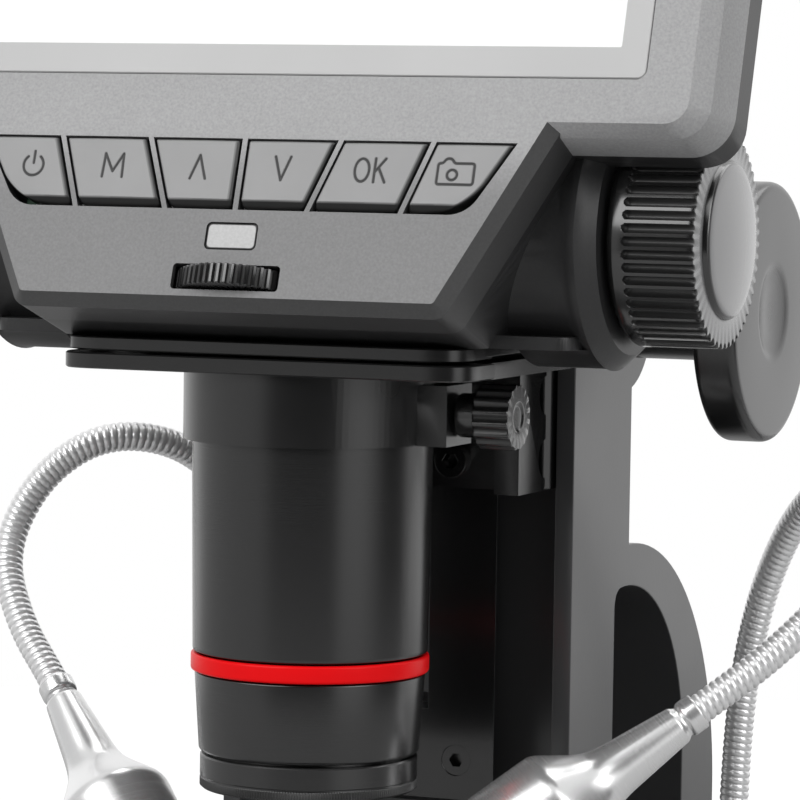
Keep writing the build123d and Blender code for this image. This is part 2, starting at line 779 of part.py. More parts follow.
with BuildPart() as flange:
    with BuildSketch(Plane.XY.offset(flange_bottom_z)):
        RectangleRounded(2 * flange_half_x, 2 * flange_half_y, flange_corner_r)
        Circle(spigot_r, mode=Mode.SUBTRACT)
    extrude(amount=flange_thick)
    edge_low = flange.faces().sort_by(Axis.Z)[0].outer_wire().edges()
    chamfer(edge_low, flange_edge)
flange.part.label = "barrel_flange"
export_step(flange.part, "parts/barrel_flange.step")

# ================================================================ head housings
display_height = display_top_v - display_bottom_v
display_mid_v = (display_top_v + display_bottom_v) / 2
chin_top_v = display_bottom_v + chin_overlap
display_front_half = display_half - display_front_inset
frame_inner_half = display_front_half - wall
frame_inner_height = display_height - 2 * (display_front_lift + wall)


# The lower posts stand just above the scoops in which the focus knobs turn.
scoop_r = focus_knob_r + clear_gap
scoop_top_v = knob_v + (scoop_r ** 2 - (knob_w + display_thick) ** 2) ** 0.5
post_places_v = (scoop_top_v + screw_post_r + merge_depth, display_top_v - screw_post_inset_v)
port_w = -(split_w + display_thick) / 2
port_places = [(n - 1) * port_spacing for n in range(3)]
port_plane = Plane(origin=face.from_local_coords((-display_half, display_mid_v, port_w)),
                   x_dir=face.y_dir, z_dir=(-1, 0, 0))
wheel_plane = Plane(origin=face.from_local_coords((0, dimmer_v - dimmer_wheel_thick / 2, -dimmer_wheel_depth)),
                    x_dir=(1, 0, 0), z_dir=face.y_dir)


def chin_corners(inset, low_v):
    """Corners of the chin's trapezoid, drawn in from its slanted sides."""
    low_half = chin_low_half + chin_slope * low_v - inset
    top_half = chin_low_half + chin_slope * chin_top_v - inset
    return [(-top_half, chin_top_v), (-low_half, low_v), (low_half, low_v), (top_half, chin_top_v)]


def key_corners(index, gap):
    """Corners of key 0 to 5 from the left, each side drawn in by the gap and half a rib."""
    lines_top = [-x for x in rib_top_x[:0:-1]] + list(rib_top_x)
    lines_low = [-x for x in rib_low_x[:0:-1]] + list(rib_low_x)
    inset = key_rib / 2 + gap
    left_top = -key_outer_top + gap if index == 0 else lines_top[index - 1] + inset
    left_low = -key_outer_low + gap if index == 0 else lines_low[index - 1] + inset
    right_top = key_outer_top - gap if index == 5 else lines_top[index] - inset
    right_low = key_outer_low - gap if index == 5 else lines_low[index] - inset
    return [(left_low, key_bottom_v + gap), (right_low, key_bottom_v + gap),
            (right_top, key_top_v - gap), (left_top, key_top_v - gap)]


def display_outline(inset, lift, corner_r):
    """Sketch of the display's outline, drawn in by an inset at the sides and a lift at top and bottom."""
    with BuildSketch(mode=Mode.PRIVATE) as outline:
        with Locations((0, display_mid_v)):
            RectangleRounded(2 * (display_half - inset), display_height - 2 * lift, corner_r)
    return outline.sketch


def key_outline(index, gap):
    """Sketch of one key: a trapezoid, with a large corner low down on the two outer keys."""
    with BuildSketch(mode=Mode.PRIVATE) as outline:
        with BuildLine():
            Polyline(*key_corners(index, gap), close=True)
        make_face()
        if index in (0, 5):
            outer = outline.vertices().group_by(Axis.Y)[0].sort_by(Axis.X)[0 if index == 0 else -1]
            fillet(outer, key_corner_r - gap)
    return outline.sketch


with BuildPart() as front_housing:
    with BuildSketch(face.offset(-split_w)) as chin_sketch:
        with BuildLine():
            Polyline(*chin_corners(-chin_bevel, -chin_bevel), close=True)
        make_face()
        fillet(chin_sketch.vertices().group_by(Axis.Y)[0], chin_corner_r)
    extrude(amount=split_w)
    chin_face = front_housing.faces().sort_by(inward)[0]
    rim_top_v = display_bottom_v + chin_overlap / 2
    rim = chin_face.edges().filter_by(lambda e: face.to_local_coords(e.center()).Y < rim_top_v)
    chamfer(rim, chin_bevel)
    with BuildSketch(face.offset(-split_w)):
        add(display_outline(0, 0, display_corner_r))
    with BuildSketch(face.offset(-display_bevel)):
        add(display_outline(display_mid_inset, display_mid_lift, display_mid_corner_r))
    loft(ruled=True)
    with BuildSketch(face.offset(-display_bevel)):
        add(display_outline(display_mid_inset, display_mid_lift, display_mid_corner_r))
    with BuildSketch(face):
        add(display_outline(display_front_inset, display_front_lift, display_front_corner_r))
    loft(ruled=True)
    # Window recess, and the opening behind it that leaves a ledge.
    window_mid_v = (window_top_v + window_bottom_v) / 2
    with BuildSketch(face):
        with Locations((0, window_mid_v)):
            RectangleRounded(2 * window_half, window_top_v - window_bottom_v, window_corner_r)
    extrude(amount=-window_thick, mode=Mode.SUBTRACT)
    with BuildSketch(face):
        with Locations((0, window_mid_v)):
            Rectangle(2 * (window_half - window_ledge), window_top_v - window_bottom_v - 2 * window_ledge)
    extrude(amount=-split_w, mode=Mode.SUBTRACT)
    # Inside of the display frame and of the chin.
    with BuildSketch(face.offset(-split_w)):
        with Locations((0, display_mid_v)):
            Rectangle(2 * frame_inner_half, frame_inner_height)
    extrude(amount=split_w - frame_wall, mode=Mode.SUBTRACT)
    with BuildSketch(face.offset(-split_w)):
        with BuildLine():
            Polyline(*chin_corners(wall - chin_bevel, wall - chin_bevel), close=True)
        make_face()
    extrude(amount=split_w - wall, mode=Mode.SUBTRACT)
    with BuildSketch(wheel_plane.offset(-clear_gap)):
        Circle(dimmer_wheel_r + clear_gap)
    extrude(amount=dimmer_wheel_thick + 2 * clear_gap, mode=Mode.SUBTRACT)
    # Posts for the housing screws, and short posts that the key board stands on.
    for post_v in post_places_v:
        with BuildSketch(face.offset(-split_w)):
            with Locations((-screw_post_x, post_v), (screw_post_x, post_v)):
                Circle(screw_post_r)
                Circle(screw_shank_r + running_gap, mode=Mode.SUBTRACT)
        extrude(amount=split_w - wall)
    with BuildSketch(face.offset(key_board_w)):
        with Locations((-key_post_x, key_post_v), (0, key_post_v), (key_post_x, key_post_v)):
            Circle(key_post_r)
    extrude(amount=-key_board_w - wall)
    # Openings for the keys, the infrared window and the dimmer wheel.
    for index in range(6):
        with BuildSketch(face):
            add(key_outline(index, 0))
        extrude(amount=-split_w, mode=Mode.SUBTRACT)
    with BuildSketch(face):
        with Locations((0, ir_v)):
            RectangleRounded(2 * ir_half_x, 2 * ir_half_v, ir_corner_r)
        with Locations((0, dimmer_v)):
            RectangleRounded(2 * dimmer_slot_half, dimmer_slot_height, dimmer_slot_r)
    extrude(amount=-split_w, mode=Mode.SUBTRACT)
front_housing.part.label = "front_housing"
export_step(front_housing.part, "parts/front_housing.step")

with BuildPart() as rear_housing:
    # Back of the display.
    with BuildSketch(face.offset(-split_w)):
        add(display_outline(0, 0, display_corner_r))
    extrude(amount=-(display_thick - split_w))
    chamfer(rear_housing.faces().sort_by(inward)[-1].edges(), display_back_edge)
    # Chin behind the joint, down to the knob axis.
    with BuildSketch(face.offset(-split_w)) as chin_back:
        with BuildLine():
            Polyline(*chin_corners(-chin_bevel, -chin_bevel), close=True)
        make_face()
        fillet(chin_back.vertices().group_by(Axis.Y)[0], chin_corner_r)
    extrude(amount=knob_w + split_w)
    # Round body along the knob axis, with a collar at each end.
    with BuildSketch(Plane.XZ):
        with BuildLine():
            Polyline((0, knob_axis_z), (collar_face_x, knob_axis_z), (collar_face_x, knob_axis_z + collar_face_r),
                     (collar_x, knob_axis_z + collar_r), (housing_half, knob_axis_z + housing_r),
                     (0, knob_axis_z + housing_r), close=True)
        make_face()
    revolve(axis=Axis((0, 0, knob_axis_z), (1, 0, 0)))
    with BuildSketch(Plane.XZ):
        with BuildLine():
            Polyline((0, knob_axis_z), (-collar_face_x, knob_axis_z), (-collar_face_x, knob_axis_z + collar_face_r),
                     (-collar_x, knob_axis_z + collar_r), (-housing_half, knob_axis_z + housing_r),
                     (0, knob_axis_z + housing_r), close=True)
        make_face()
    revolve(axis=Axis((0, 0, knob_axis_z), (1, 0, 0)))
    # Sloping shoulder between the back of the display and the round body.
    with BuildSketch(Plane.YZ):
        with BuildLine():
            Polyline(slant(display_bottom_v, -split_w),
                     slant(display_bottom_v + shoulder_rise, shoulder_sink - display_thick),
                     slant(knob_v + housing_r - shoulder_step, knob_w - shoulder_back),
                     slant(knob_v, knob_w), close=True)
        make_face()
    extrude(amount=housing_half - shoulder_inset, both=True)
    # Everything in front of the joint belongs to the front housing.
    split(bisect_by=face.offset(-split_w), keep=Keep.BOTTOM)
    # Plinth that stands on the barrel flange, round skirts at its ends, and the flat seat between them.
    with BuildSketch(Plane.XY.offset(flange_top_z)):
        RectangleRounded(2 * plinth_half_x, 2 * plinth_half_y, plinth_corner_r)
    extrude(amount=plinth_height)
    with BuildSketch(Plane.YZ.offset(-collar_x)):
        with Locations((0, knob_axis_z)):
            Circle(skirt_r)
        with Locations((0, knob_axis_z)):
            Rectangle(2 * skirt_r, 2 * (knob_axis_z - flange_top_z), mode=Mode.SUBTRACT)
        with Locations((0, knob_axis_z + skirt_r)):
            Rectangle(2 * skirt_r, 2 * skirt_r, mode=Mode.SUBTRACT)
    extrude(amount=2 * collar_x)
    with BuildSketch(Plane.XY.offset(flange_top_z)):
        Rectangle(2 * pocket_half_x, 4 * housing_r)
    extrude(amount=-housing_r, mode=Mode.SUBTRACT)
    # Inside.
    with BuildSketch(face.offset(-split_w)):
        with Locations((0, display_mid_v)):
            Rectangle(2 * frame_inner_half, frame_inner_height)
    extrude(amount=-(display_thick - split_w - wall), mode=Mode.SUBTRACT)
    inner_r = housing_r - wall
    with BuildSketch(Plane.YZ) as bore:
        with Locations((0, knob_axis_z)):
            Circle(inner_r)
        with Locations((0, head_floor_z - housing_r)):
            Rectangle(4 * housing_r, 2 * housing_r, mode=Mode.SUBTRACT)
    extrude(amount=housing_half - bore_end_wall, both=True, mode=Mode.SUBTRACT)
    with BuildSketch(Plane.XY.offset(flange_top_z)):
        Circle(spigot_r + running_gap)
    extrude(amount=wall, mode=Mode.SUBTRACT)
    # Scoops in the lower rear edge of the display, where the focus knobs turn.
    for side in (-1, 1):
        with BuildSketch(Plane.YZ.offset(side * collar_face_x)):
            with Locations((0, knob_axis_z)):
                Circle(scoop_r)
        extrude(amount=side * (display_half - collar_face_x), mode=Mode.SUBTRACT)
    with BuildSketch(Plane.YZ):
        with Locations((0, knob_axis_z)):
            Circle(focus_bush_r)
    extrude(amount=2 * collar_face_x, both=True, mode=Mode.SUBTRACT)
    # Pockets for the dimmer wheel and its potentiometer.
    with BuildSketch(wheel_plane.offset(-clear_gap)):
        Circle(dimmer_wheel_r + clear_gap)
    extrude(amount=dimmer_wheel_thick + 2 * clear_gap, mode=Mode.SUBTRACT)
    with BuildSketch(wheel_plane.offset(dimmer_wheel_thick)):
        Rectangle(2 * (dimmer_pot_half + panel_gap), 2 * (dimmer_pot_half + panel_gap))
    extrude(amount=dimmer_pot_height + 2 * clear_gap, mode=Mode.SUBTRACT)
    # Screw posts with their recessed heads, and pockets for the sockets in the left side.
    for post_v in post_places_v:
        with BuildSketch(face.offset(-split_w)):
            with Locations((-screw_post_x, post_v), (screw_post_x, post_v)):
                Circle(screw_post_r)
        extrude(amount=-(display_thick - split_w - wall / 2))
        with BuildSketch(face.offset(-split_w)):
            with Locations((-screw_post_x, post_v), (screw_post_x, post_v)):
                Circle(screw_shank_r + running_gap)
        extrude(amount=-(display_thick - split_w), mode=Mode.SUBTRACT)
        with BuildSketch(face.offset(-display_thick)):
            with Locations((-screw_post_x, post_v), (screw_post_x, post_v)):
                Circle(screw_head_r + panel_gap)
        extrude(amount=screw_head_height + panel_gap, mode=Mode.SUBTRACT)
    with BuildSketch(port_plane):
        for place, width in zip(port_places, port_widths):
            with Locations((place, 0)):
                Rectangle(width + 2 * panel_gap, port_height + 2 * panel_gap)
    extrude(amount=-port_depth, mode=Mode.SUBTRACT)
rear_housing.part.label = "rear_housing"
export_step(rear_housing.part, "parts/rear_housing.step")

# ================================================================ screen, boards and window
with BuildPart() as lcd_window:
    with BuildSketch(face.offset(-window_thick)):
        with Locations((0, window_mid_v)):
            RectangleRounded(2 * (window_half - panel_gap), window_top_v - window_bottom_v - 2 * panel_gap,
                             window_corner_r - panel_gap)
    extrude(amount=window_thick)
lcd_window.part.label = "lcd_window"
export_step(lcd_window.part, "parts/lcd_window.step")

active_mid_v = active_bottom_v + active_height / 2
lcd_front_w = -(window_thick + panel_gap)
with BuildPart() as lcd_panel:
    with BuildSketch(face.offset(lcd_front_w - window_ledge - panel_gap)):
        with Locations((0, active_mid_v)):
            Rectangle(2 * (active_half_x + lcd_border), active_height + 2 * lcd_border)
    extrude(amount=-lcd_thick)
    with BuildSketch(face.offset(lcd_front_w)):
        with Locations((0, active_mid_v)):
            Rectangle(2 * (window_half - window_ledge - panel_gap), active_height + 2 * lcd_step)
    extrude(amount=-(window_ledge + panel_gap))
lcd_panel.part.label = "lcd_panel"
export_step(lcd_panel.part, "parts/lcd_panel.step")

board_w = -(split_w + clear_gap)
board_half_x = display_front_half - wall - board_margin
with BuildPart() as main_board:
    with BuildSketch(face.offset(board_w)):
        with Locations((0, display_mid_v + board_margin / 2)):
            Rectangle(2 * board_half_x, display_height - 4 * board_margin)
    extrude(amount=-board_thick)
    with BuildSketch(face.offset(board_w - board_thick)):
        with Locations((-board_half_x / 3, display_mid_v), (-board_half_x * 2 / 3, display_mid_v)):
            Rectangle(chip_size, chip_size)
    extrude(amount=-chip_height)
main_board.part.label = "main_board"
export_step(main_board.part, "parts/main_board.step")

with BuildPart() as battery:
    battery_w = board_w - board_thick - clear_gap
    with BuildSketch(face.offset(battery_w)):
        with Locations((board_half_x / 2, display_mid_v)):
            RectangleRounded(battery_width, battery_height, battery_corner_r)
    extrude(amount=-(display_thick - wall + battery_w - clear_gap))
battery.part.label = "battery"
export_step(battery.part, "parts/battery.step")

with BuildPart() as side_ports:
    with BuildSketch(port_plane.offset(-port_depth)):
        for place, width in zip(port_places, port_widths):
            with Locations((place, 0)):
                RectangleRounded(width, port_height, port_corner_r)
    extrude(amount=port_depth - panel_gap)
    with BuildSketch(port_plane.offset(-panel_gap)):
        for place, width in zip(port_places, port_widths):
            with Locations((place, 0)):
                Rectangle(width - 2 * port_wall, port_height - 2 * port_wall)
    extrude(amount=-port_recess, mode=Mode.SUBTRACT)
side_ports.part.label = "side_ports"
export_step(side_ports.part, "parts/side_ports.step")

with BuildPart() as housing_screws:
    for post_v in post_places_v:
        with BuildSketch(face.offset(-display_thick + screw_head_height)):
            with Locations((-screw_post_x, post_v), (screw_post_x, post_v)):
                Circle(screw_head_r)
                RegularPolygon(screw_shank_r, 6, mode=Mode.SUBTRACT)
        extrude(amount=-screw_head_height + panel_gap)
        with BuildSketch(face.offset(-display_thick + screw_head_height)):
            with Locations((-screw_post_x, post_v), (screw_post_x, post_v)):
                Circle(screw_shank_r)
        extrude(amount=display_thick - screw_head_height - 2 * wall)
housing_screws.part.label = "housing_screws"
export_step(housing_screws.part, "parts/housing_screws.step")

# ================================================================ keys, key board, infrared and dimmer
for index, name in enumerate(("key_power", "key_menu", "key_up", "key_down", "key_ok", "key_camera")):
    with BuildPart() as key:
        with BuildSketch(face.offset(key_back_w)):
            add(key_outline(index, panel_gap))
        extrude(amount=key_depth)
        chamfer(key.faces().sort_by(inward)[0].edges(), key_bevel)
        # Broad bevel along the lower edge.
        low_v = key_bottom_v + panel_gap
        with BuildSketch(Plane.YZ):
            with BuildLine():
                Polyline(slant(low_v - key_low_bevel, key_proud - 2 * key_low_bevel_depth),
                         slant(low_v + 2 * key_low_bevel, key_proud + key_low_bevel_depth),
                         slant(low_v - key_low_bevel, key_proud + key_low_bevel_depth), close=True)
            make_face()
        extrude(amount=key_outer_top, both=True, mode=Mode.SUBTRACT)
        # Lips above and below that hold the key behind the housing's wall.
        corners = key_corners(index, panel_gap)
        low_width = corners[1][0] - corners[0][0]
        with BuildSketch(face.offset(key_back_w)):
            with Locations((sum(corner[0] for corner in corners) / 4, (key_bottom_v + key_top_v) / 2)):
                Rectangle(low_width - 2 * key_lip_inset, key_top_v - key_bottom_v + 2 * key_lip)
        extrude(amount=-wall - panel_gap - key_back_w)
    key.part.label = name
    export_step(key.part, f"parts/{name}.step")

with BuildPart() as key_mat:
    with BuildSketch(face.offset(key_board_w)):
        with Locations((0, (key_bottom_v + key_top_v) / 2)):
            RectangleRounded(2 * (key_board_half - key_mat_inset_x),
                             key_top_v - key_bottom_v + 2 * (key_lip - key_mat_inset_v), key_mat_corner_r)
    extrude(amount=key_mat_thick)
key_mat.part.label = "key_mat"
export_step(key_mat.part, "parts/key_mat.step")

with BuildPart() as key_board:
    with BuildSketch(face.offset(key_board_w)):
        with Locations((0, (key_board_top_v + pot_top_v) / 2)):
            Rectangle(2 * key_board_half, key_board_top_v - pot_top_v)
    extrude(amount=-key_board_thick)
    with BuildSketch(face.offset(key_board_w - key_board_thick)):
        with Locations((key_board_half / 2, key_post_v - connector_drop)):
            Rectangle(connector_length, connector_width)
    extrude(amount=-connector_height)
key_board.part.label = "key_board"
export_step(key_board.part, "parts/key_board.step")

with BuildPart() as ir_window:
    with BuildSketch(face.offset(-ir_thick)):
        with Locations((0, ir_v)):
            RectangleRounded(2 * ir_half_x, 2 * ir_half_v, ir_corner_r)
    extrude(amount=ir_thick)
ir_window.part.label = "ir_window"
export_step(ir_window.part, "parts/ir_window.step")

with BuildPart() as ir_receiver:
    receiver_low_v = pot_top_v + panel_gap
    receiver_top_v = key_bottom_v - key_lip - panel_gap
    with BuildSketch(face.offset(key_board_w)):
        with Locations((0, (receiver_low_v + receiver_top_v) / 2)):
            Rectangle(2 * ir_receiver_half, receiver_top_v - receiver_low_v)
    extrude(amount=-key_board_w - wall - panel_gap)
    chamfer(ir_receiver.faces().sort_by(inward)[0].edges(), ir_receiver_edge)
ir_receiver.part.label = "ir_receiver"
export_step(ir_receiver.part, "parts/ir_receiver.step")

with BuildPart() as dimmer_pot:
    with BuildSketch(wheel_plane.offset(dimmer_wheel_thick + clear_gap)):
        Rectangle(2 * dimmer_pot_half, 2 * dimmer_pot_half)
    extrude(amount=dimmer_pot_height)
    with BuildSketch(wheel_plane):
        Circle(dimmer_stub_r)
    extrude(amount=dimmer_wheel_thick + clear_gap)
dimmer_pot.part.label = "dimmer_pot"
export_step(dimmer_pot.part, "parts/dimmer_pot.step")

with BuildPart() as dimmer_wheel:
    with BuildSketch(wheel_plane):
        Circle(dimmer_wheel_r)
        with PolarLocations(dimmer_wheel_r, dimmer_ribs):
            Rectangle(2 * dimmer_rib_depth, dimmer_rib_width, mode=Mode.SUBTRACT)
        Circle(dimmer_stub_r + running_gap, mode=Mode.SUBTRACT)
    extrude(amount=dimmer_wheel_thick)
dimmer_wheel.part.label = "dimmer_wheel"
export_step(dimmer_wheel.part, "parts/dimmer_wheel.step")

# ================================================================ focus drive
with BuildPart() as focus_bushes:
    for side in (-1, 1):
        with BuildSketch(Plane.YZ.offset(side * (housing_half - bore_end_wall))):
            with Locations((0, knob_axis_z)):
                Circle(focus_bush_r)
                Circle(focus_shaft_r + running_gap, mode=Mode.SUBTRACT)
        extrude(amount=side * (collar_face_x - housing_half + bore_end_wall))
focus_bushes.part.label = "focus_bushes"
export_step(focus_bushes.part, "parts/focus_bushes.step")

with BuildPart() as focus_shaft:
    with BuildSketch(Plane.YZ):
        with Locations((0, knob_axis_z)):
            Circle(focus_shaft_r)
    extrude(amount=focus_shaft_end_x, both=True)
    with BuildSketch(Plane.YZ):
        with Locations((0, knob_axis_z)):
            Circle(focus_pitch_r - (tooth_root - tooth_sink) * focus_module)
            with PolarLocations(0, focus_teeth):
                Polygon(*tooth_outline(focus_pitch_r, focus_module, focus_tooth_thin), align=None)
    extrude(amount=focus_pinion_width / 2, both=True)
focus_shaft.part.label = "focus_shaft"
export_step(focus_shaft.part, "parts/focus_shaft.step")

for side, name in ((-1, "focus_knob_left"), (1, "focus_knob_right")):
    with BuildPart() as focus_knob:
        with BuildSketch(Plane.YZ.offset(side * focus_knob_inner_x)):
            with Locations((0, knob_axis_z)):
                Circle(focus_knob_r)
        extrude(amount=side * (focus_knob_face_x - focus_knob_inner_x))
        chamfer(focus_knob.edges().filter_by(GeomType.CIRCLE), focus_knob_edge)
        with BuildSketch(Plane.YZ.offset(side * focus_rib_start_x)):
            with Locations((0, knob_axis_z)):
                with PolarLocations(focus_knob_r, focus_ribs):
                    Rectangle(2 * focus_rib_depth, focus_rib_width)
        extrude(amount=side * (focus_knob_face_x - focus_rib_end - focus_rib_start_x), mode=Mode.SUBTRACT)
        with BuildSketch(Plane.YZ.offset(side * focus_knob_face_x)):
            with Locations((0, knob_axis_z)):
                Circle(focus_dish_r)
        extrude(amount=-side * focus_dish_depth, mode=Mode.SUBTRACT, taper=focus_dish_taper)
        with BuildSketch(Plane.YZ):
            with Locations((0, knob_axis_z)):
                Circle(focus_shaft_r)
        extrude(amount=side * focus_shaft_end_x, mode=Mode.SUBTRACT)
    focus_knob.part.label = name
    export_step(focus_knob.part, f"parts/{name}.step")

# ================================================================ lens unit
lens_tube_low_z = lens_tube_top_z - lens_tube_length
lens_tube_r = barrel_bore_r - running_gap
with BuildPart() as lens_tube:
    with BuildSketch(Plane.XZ):
        with BuildLine():
            bore = lens_tube_r - lens_tube_wall
            ledge_z = lens_tube_top_z - lens_ledge_thick
            Polyline((lens_ledge_r, lens_tube_top_z), (lens_tube_r, lens_tube_top_z), (lens_tube_r, lens_tube_low_z),
                     (objective_r, lens_tube_low_z), (objective_r, lens_tube_low_z - objective_nose),
                     (objective_r - objective_wall, lens_tube_low_z - objective_nose),
                     (objective_r - objective_wall, lens_tube_low_z + lens_tube_wall),
                     (bore, lens_tube_low_z + lens_tube_wall), (bore, ledge_z), (lens_ledge_r, ledge_z), close=True)
        make_face()
    revolve(axis=Axis.Z)
lens_tube.part.label = "lens_tube"
export_step(lens_tube.part, "parts/lens_tube.step")

# A thick lens with one curved side, held in the tube's nose.
with BuildPart() as objective_lens:
    lens_low_z = lens_tube_low_z - objective_nose + objective_recess
    lens_rim_r = objective_r - objective_wall
    with BuildSketch(Plane.XZ):
        with BuildLine():
            curved = TangentArc((0, lens_low_z), (lens_rim_r, lens_low_z + objective_sag), tangent=(1, 0))
            Polyline(curved @ 1, (lens_rim_r, lens_low_z + objective_thick), (0, lens_low_z + objective_thick),
                     curved @ 0)
        make_face()
    revolve(axis=Axis.Z)
objective_lens.part.label = "objective_lens"
export_step(objective_lens.part, "parts/objective_lens.step")

with BuildPart() as sensor_board:
    with BuildSketch(Plane.XY.offset(ledge_z)):
        Circle(bore)
    extrude(amount=-sensor_board_thick)
    with BuildSketch(Plane.XY.offset(ledge_z - sensor_board_thick)):
        Rectangle(2 * sensor_chip_half, 2 * sensor_chip_half)
    extrude(amount=-sensor_chip_height)
sensor_board.part.label = "sensor_board"
export_step(sensor_board.part, "parts/sensor_board.step")

with BuildPart() as focus_rack:
    focus_root_y = focus_pitch_r + tooth_root * focus_module
    focus_pitch = pi * focus_module
    with BuildSketch(Plane.YZ):
        with Locations((focus_root_y + focus_rack_depth / 2, (lens_tube_top_z + focus_rack_top_z) / 2)):
            Rectangle(focus_rack_depth, focus_rack_top_z - lens_tube_top_z)
        with Locations(((focus_root_y + focus_rack_foot_y) / 2, lens_tube_top_z + focus_rack_foot / 2)):
            Rectangle(focus_rack_foot_y - focus_root_y, focus_rack_foot)
        reach = int((focus_rack_top_z - knob_axis_z) / focus_pitch - 0.5)
        with Locations(*[(focus_pitch_r, knob_axis_z + (n + 0.5) * focus_pitch) for n in range(-reach - 1, reach)]):
            Polygon(*[(tooth_sink * focus_module - y, z)
                      for y, z in tooth_outline(0, focus_module, focus_tooth_thin)], align=None)
    extrude(amount=focus_rack_half, both=True)
focus_rack.part.label = "focus_rack"
export_step(focus_rack.part, "parts/focus_rack.step")

# ================================================================ screws that show
with BuildPart() as flange_screws:
    with BuildSketch(Plane.XZ.offset(flange_half_y)):
        with Locations((-flange_screw_x, flange_bottom_z + flange_thick / 2),
                       (flange_screw_x, flange_bottom_z + flange_thick / 2)):
            Circle(flange_screw_r)
    extrude(amount=flange_screw_proud)
flange_screws.part.label = "flange_screws"
export_step(flange_screws.part, "parts/flange_screws.step")

with BuildPart() as rail_screws:
    with BuildSketch(Plane.XZ.offset(-(rail_front_y + rail_screw_depth))):
        with Locations(*rail_screw_places):
            Circle(rail_screw_r)
            RegularPolygon(0.5 * rail_screw_r, 6, mode=Mode.SUBTRACT)
    extrude(amount=rail_screw_depth - panel_gap)
rail_screws.part.label = "rail_screws"
export_step(rail_screws.part, "parts/rail_screws.step")

# ================================================================ gooseneck lamps
for side, sign, arm_bends, aim in (("left", -1, left_arm_bends, left_lamp_aim),
                                   ("right", 1, right_arm_bends, right_lamp_aim)):
    points = [(sign * (socket_x + out), socket_y + behind, z) for out, behind, z in arm_bends]
    along = Vector(*aim).normalized()
    last = Vector(*points[-1])
    tail = last + along * lamp_offset
    bends = points + [tuple(tail + along * (lamp_socket_depth - panel_gap))]
    with BuildPart() as gooseneck:
        with BuildLine() as arm_path:
            FilletPolyline(*bends, radius=bend_radii(bends))
        with BuildSketch(Plane(origin=arm_path.line @ 0, z_dir=arm_path.line % 0)):
            Circle(arm_r)
        sweep()
    gooseneck.part.label = f"gooseneck_{side}"
    export_step(gooseneck.part, f"parts/gooseneck_{side}.step")

    lamp_plane = axial_plane(tuple(tail), aim)
    lamp_axis = Axis(tuple(tail), aim)
    cone_end = lamp_bead_length + lamp_cone_length
    flare_end = cone_end + lamp_flare_length
    front = flare_end + lamp_head_length
    cavity_r = lamp_head_r - lamp_wall
    with BuildPart() as lamp_head:
        with BuildSketch(lamp_plane):
            with BuildLine():
                socket_wall_r = arm_r + sliding_gap
                Polyline((0, lamp_socket_depth), (socket_wall_r, lamp_socket_depth), (socket_wall_r, 0), (lamp_bead_r, 0),
                         (lamp_bead_r, lamp_bead_length), (lamp_cone_r, cone_end), (lamp_head_r, flare_end),
                         (lamp_head_r, front), (cavity_r, front), (cavity_r, front - lamp_cavity_depth),
                         (0, front - lamp_cavity_depth), close=True)
            make_face()
        revolve(axis=lamp_axis)
    lamp_head.part.label = f"lamp_head_{side}"
    export_step(lamp_head.part, f"parts/lamp_head_{side}.step")

    with BuildPart() as lamp_led:
        with BuildSketch(lamp_plane):
            with BuildLine():
                led_low = front - lamp_cavity_depth
                led_top = led_low + lamp_led_board
                Polyline((0, led_low), (cavity_r, led_low), (cavity_r, led_top), (lamp_led_r, led_top),
                         (lamp_led_r, led_top + lamp_led_height), (0, led_top + lamp_led_height), close=True)
            make_face()
        revolve(axis=lamp_axis)
    lamp_led.part.label = f"lamp_led_{side}"
    export_step(lamp_led.part, f"parts/lamp_led_{side}.step")

    with BuildPart() as lamp_lens:
        with BuildSketch(lamp_plane):
            with BuildLine():
                lens_front = front - lamp_lens_inset
                Polyline((0, lens_front), (cavity_r, lens_front), (cavity_r, lens_front - lamp_lens_thick),
                         (0, lens_front - lamp_lens_thick), close=True)
            make_face()
        revolve(axis=lamp_axis)
    lamp_lens.part.label = f"lamp_lens_{side}"
    export_step(lamp_lens.part, f"parts/lamp_lens_{side}.step")
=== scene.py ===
# %% [markdown]
# # An inspection microscope with a tilted screen
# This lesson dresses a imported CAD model: a screen head on a lens barrel, held by a clamp on a rack
# and pinion stand, with two gooseneck lamps. New pieces stay inside the CAD model's box. Each step says
# what a piece is on the real object, how it could be made, and why it is made this way.

# %% Load the frame
import json
import math

import bmesh
import bpy
import numpy as np
from mathutils import Matrix, Vector


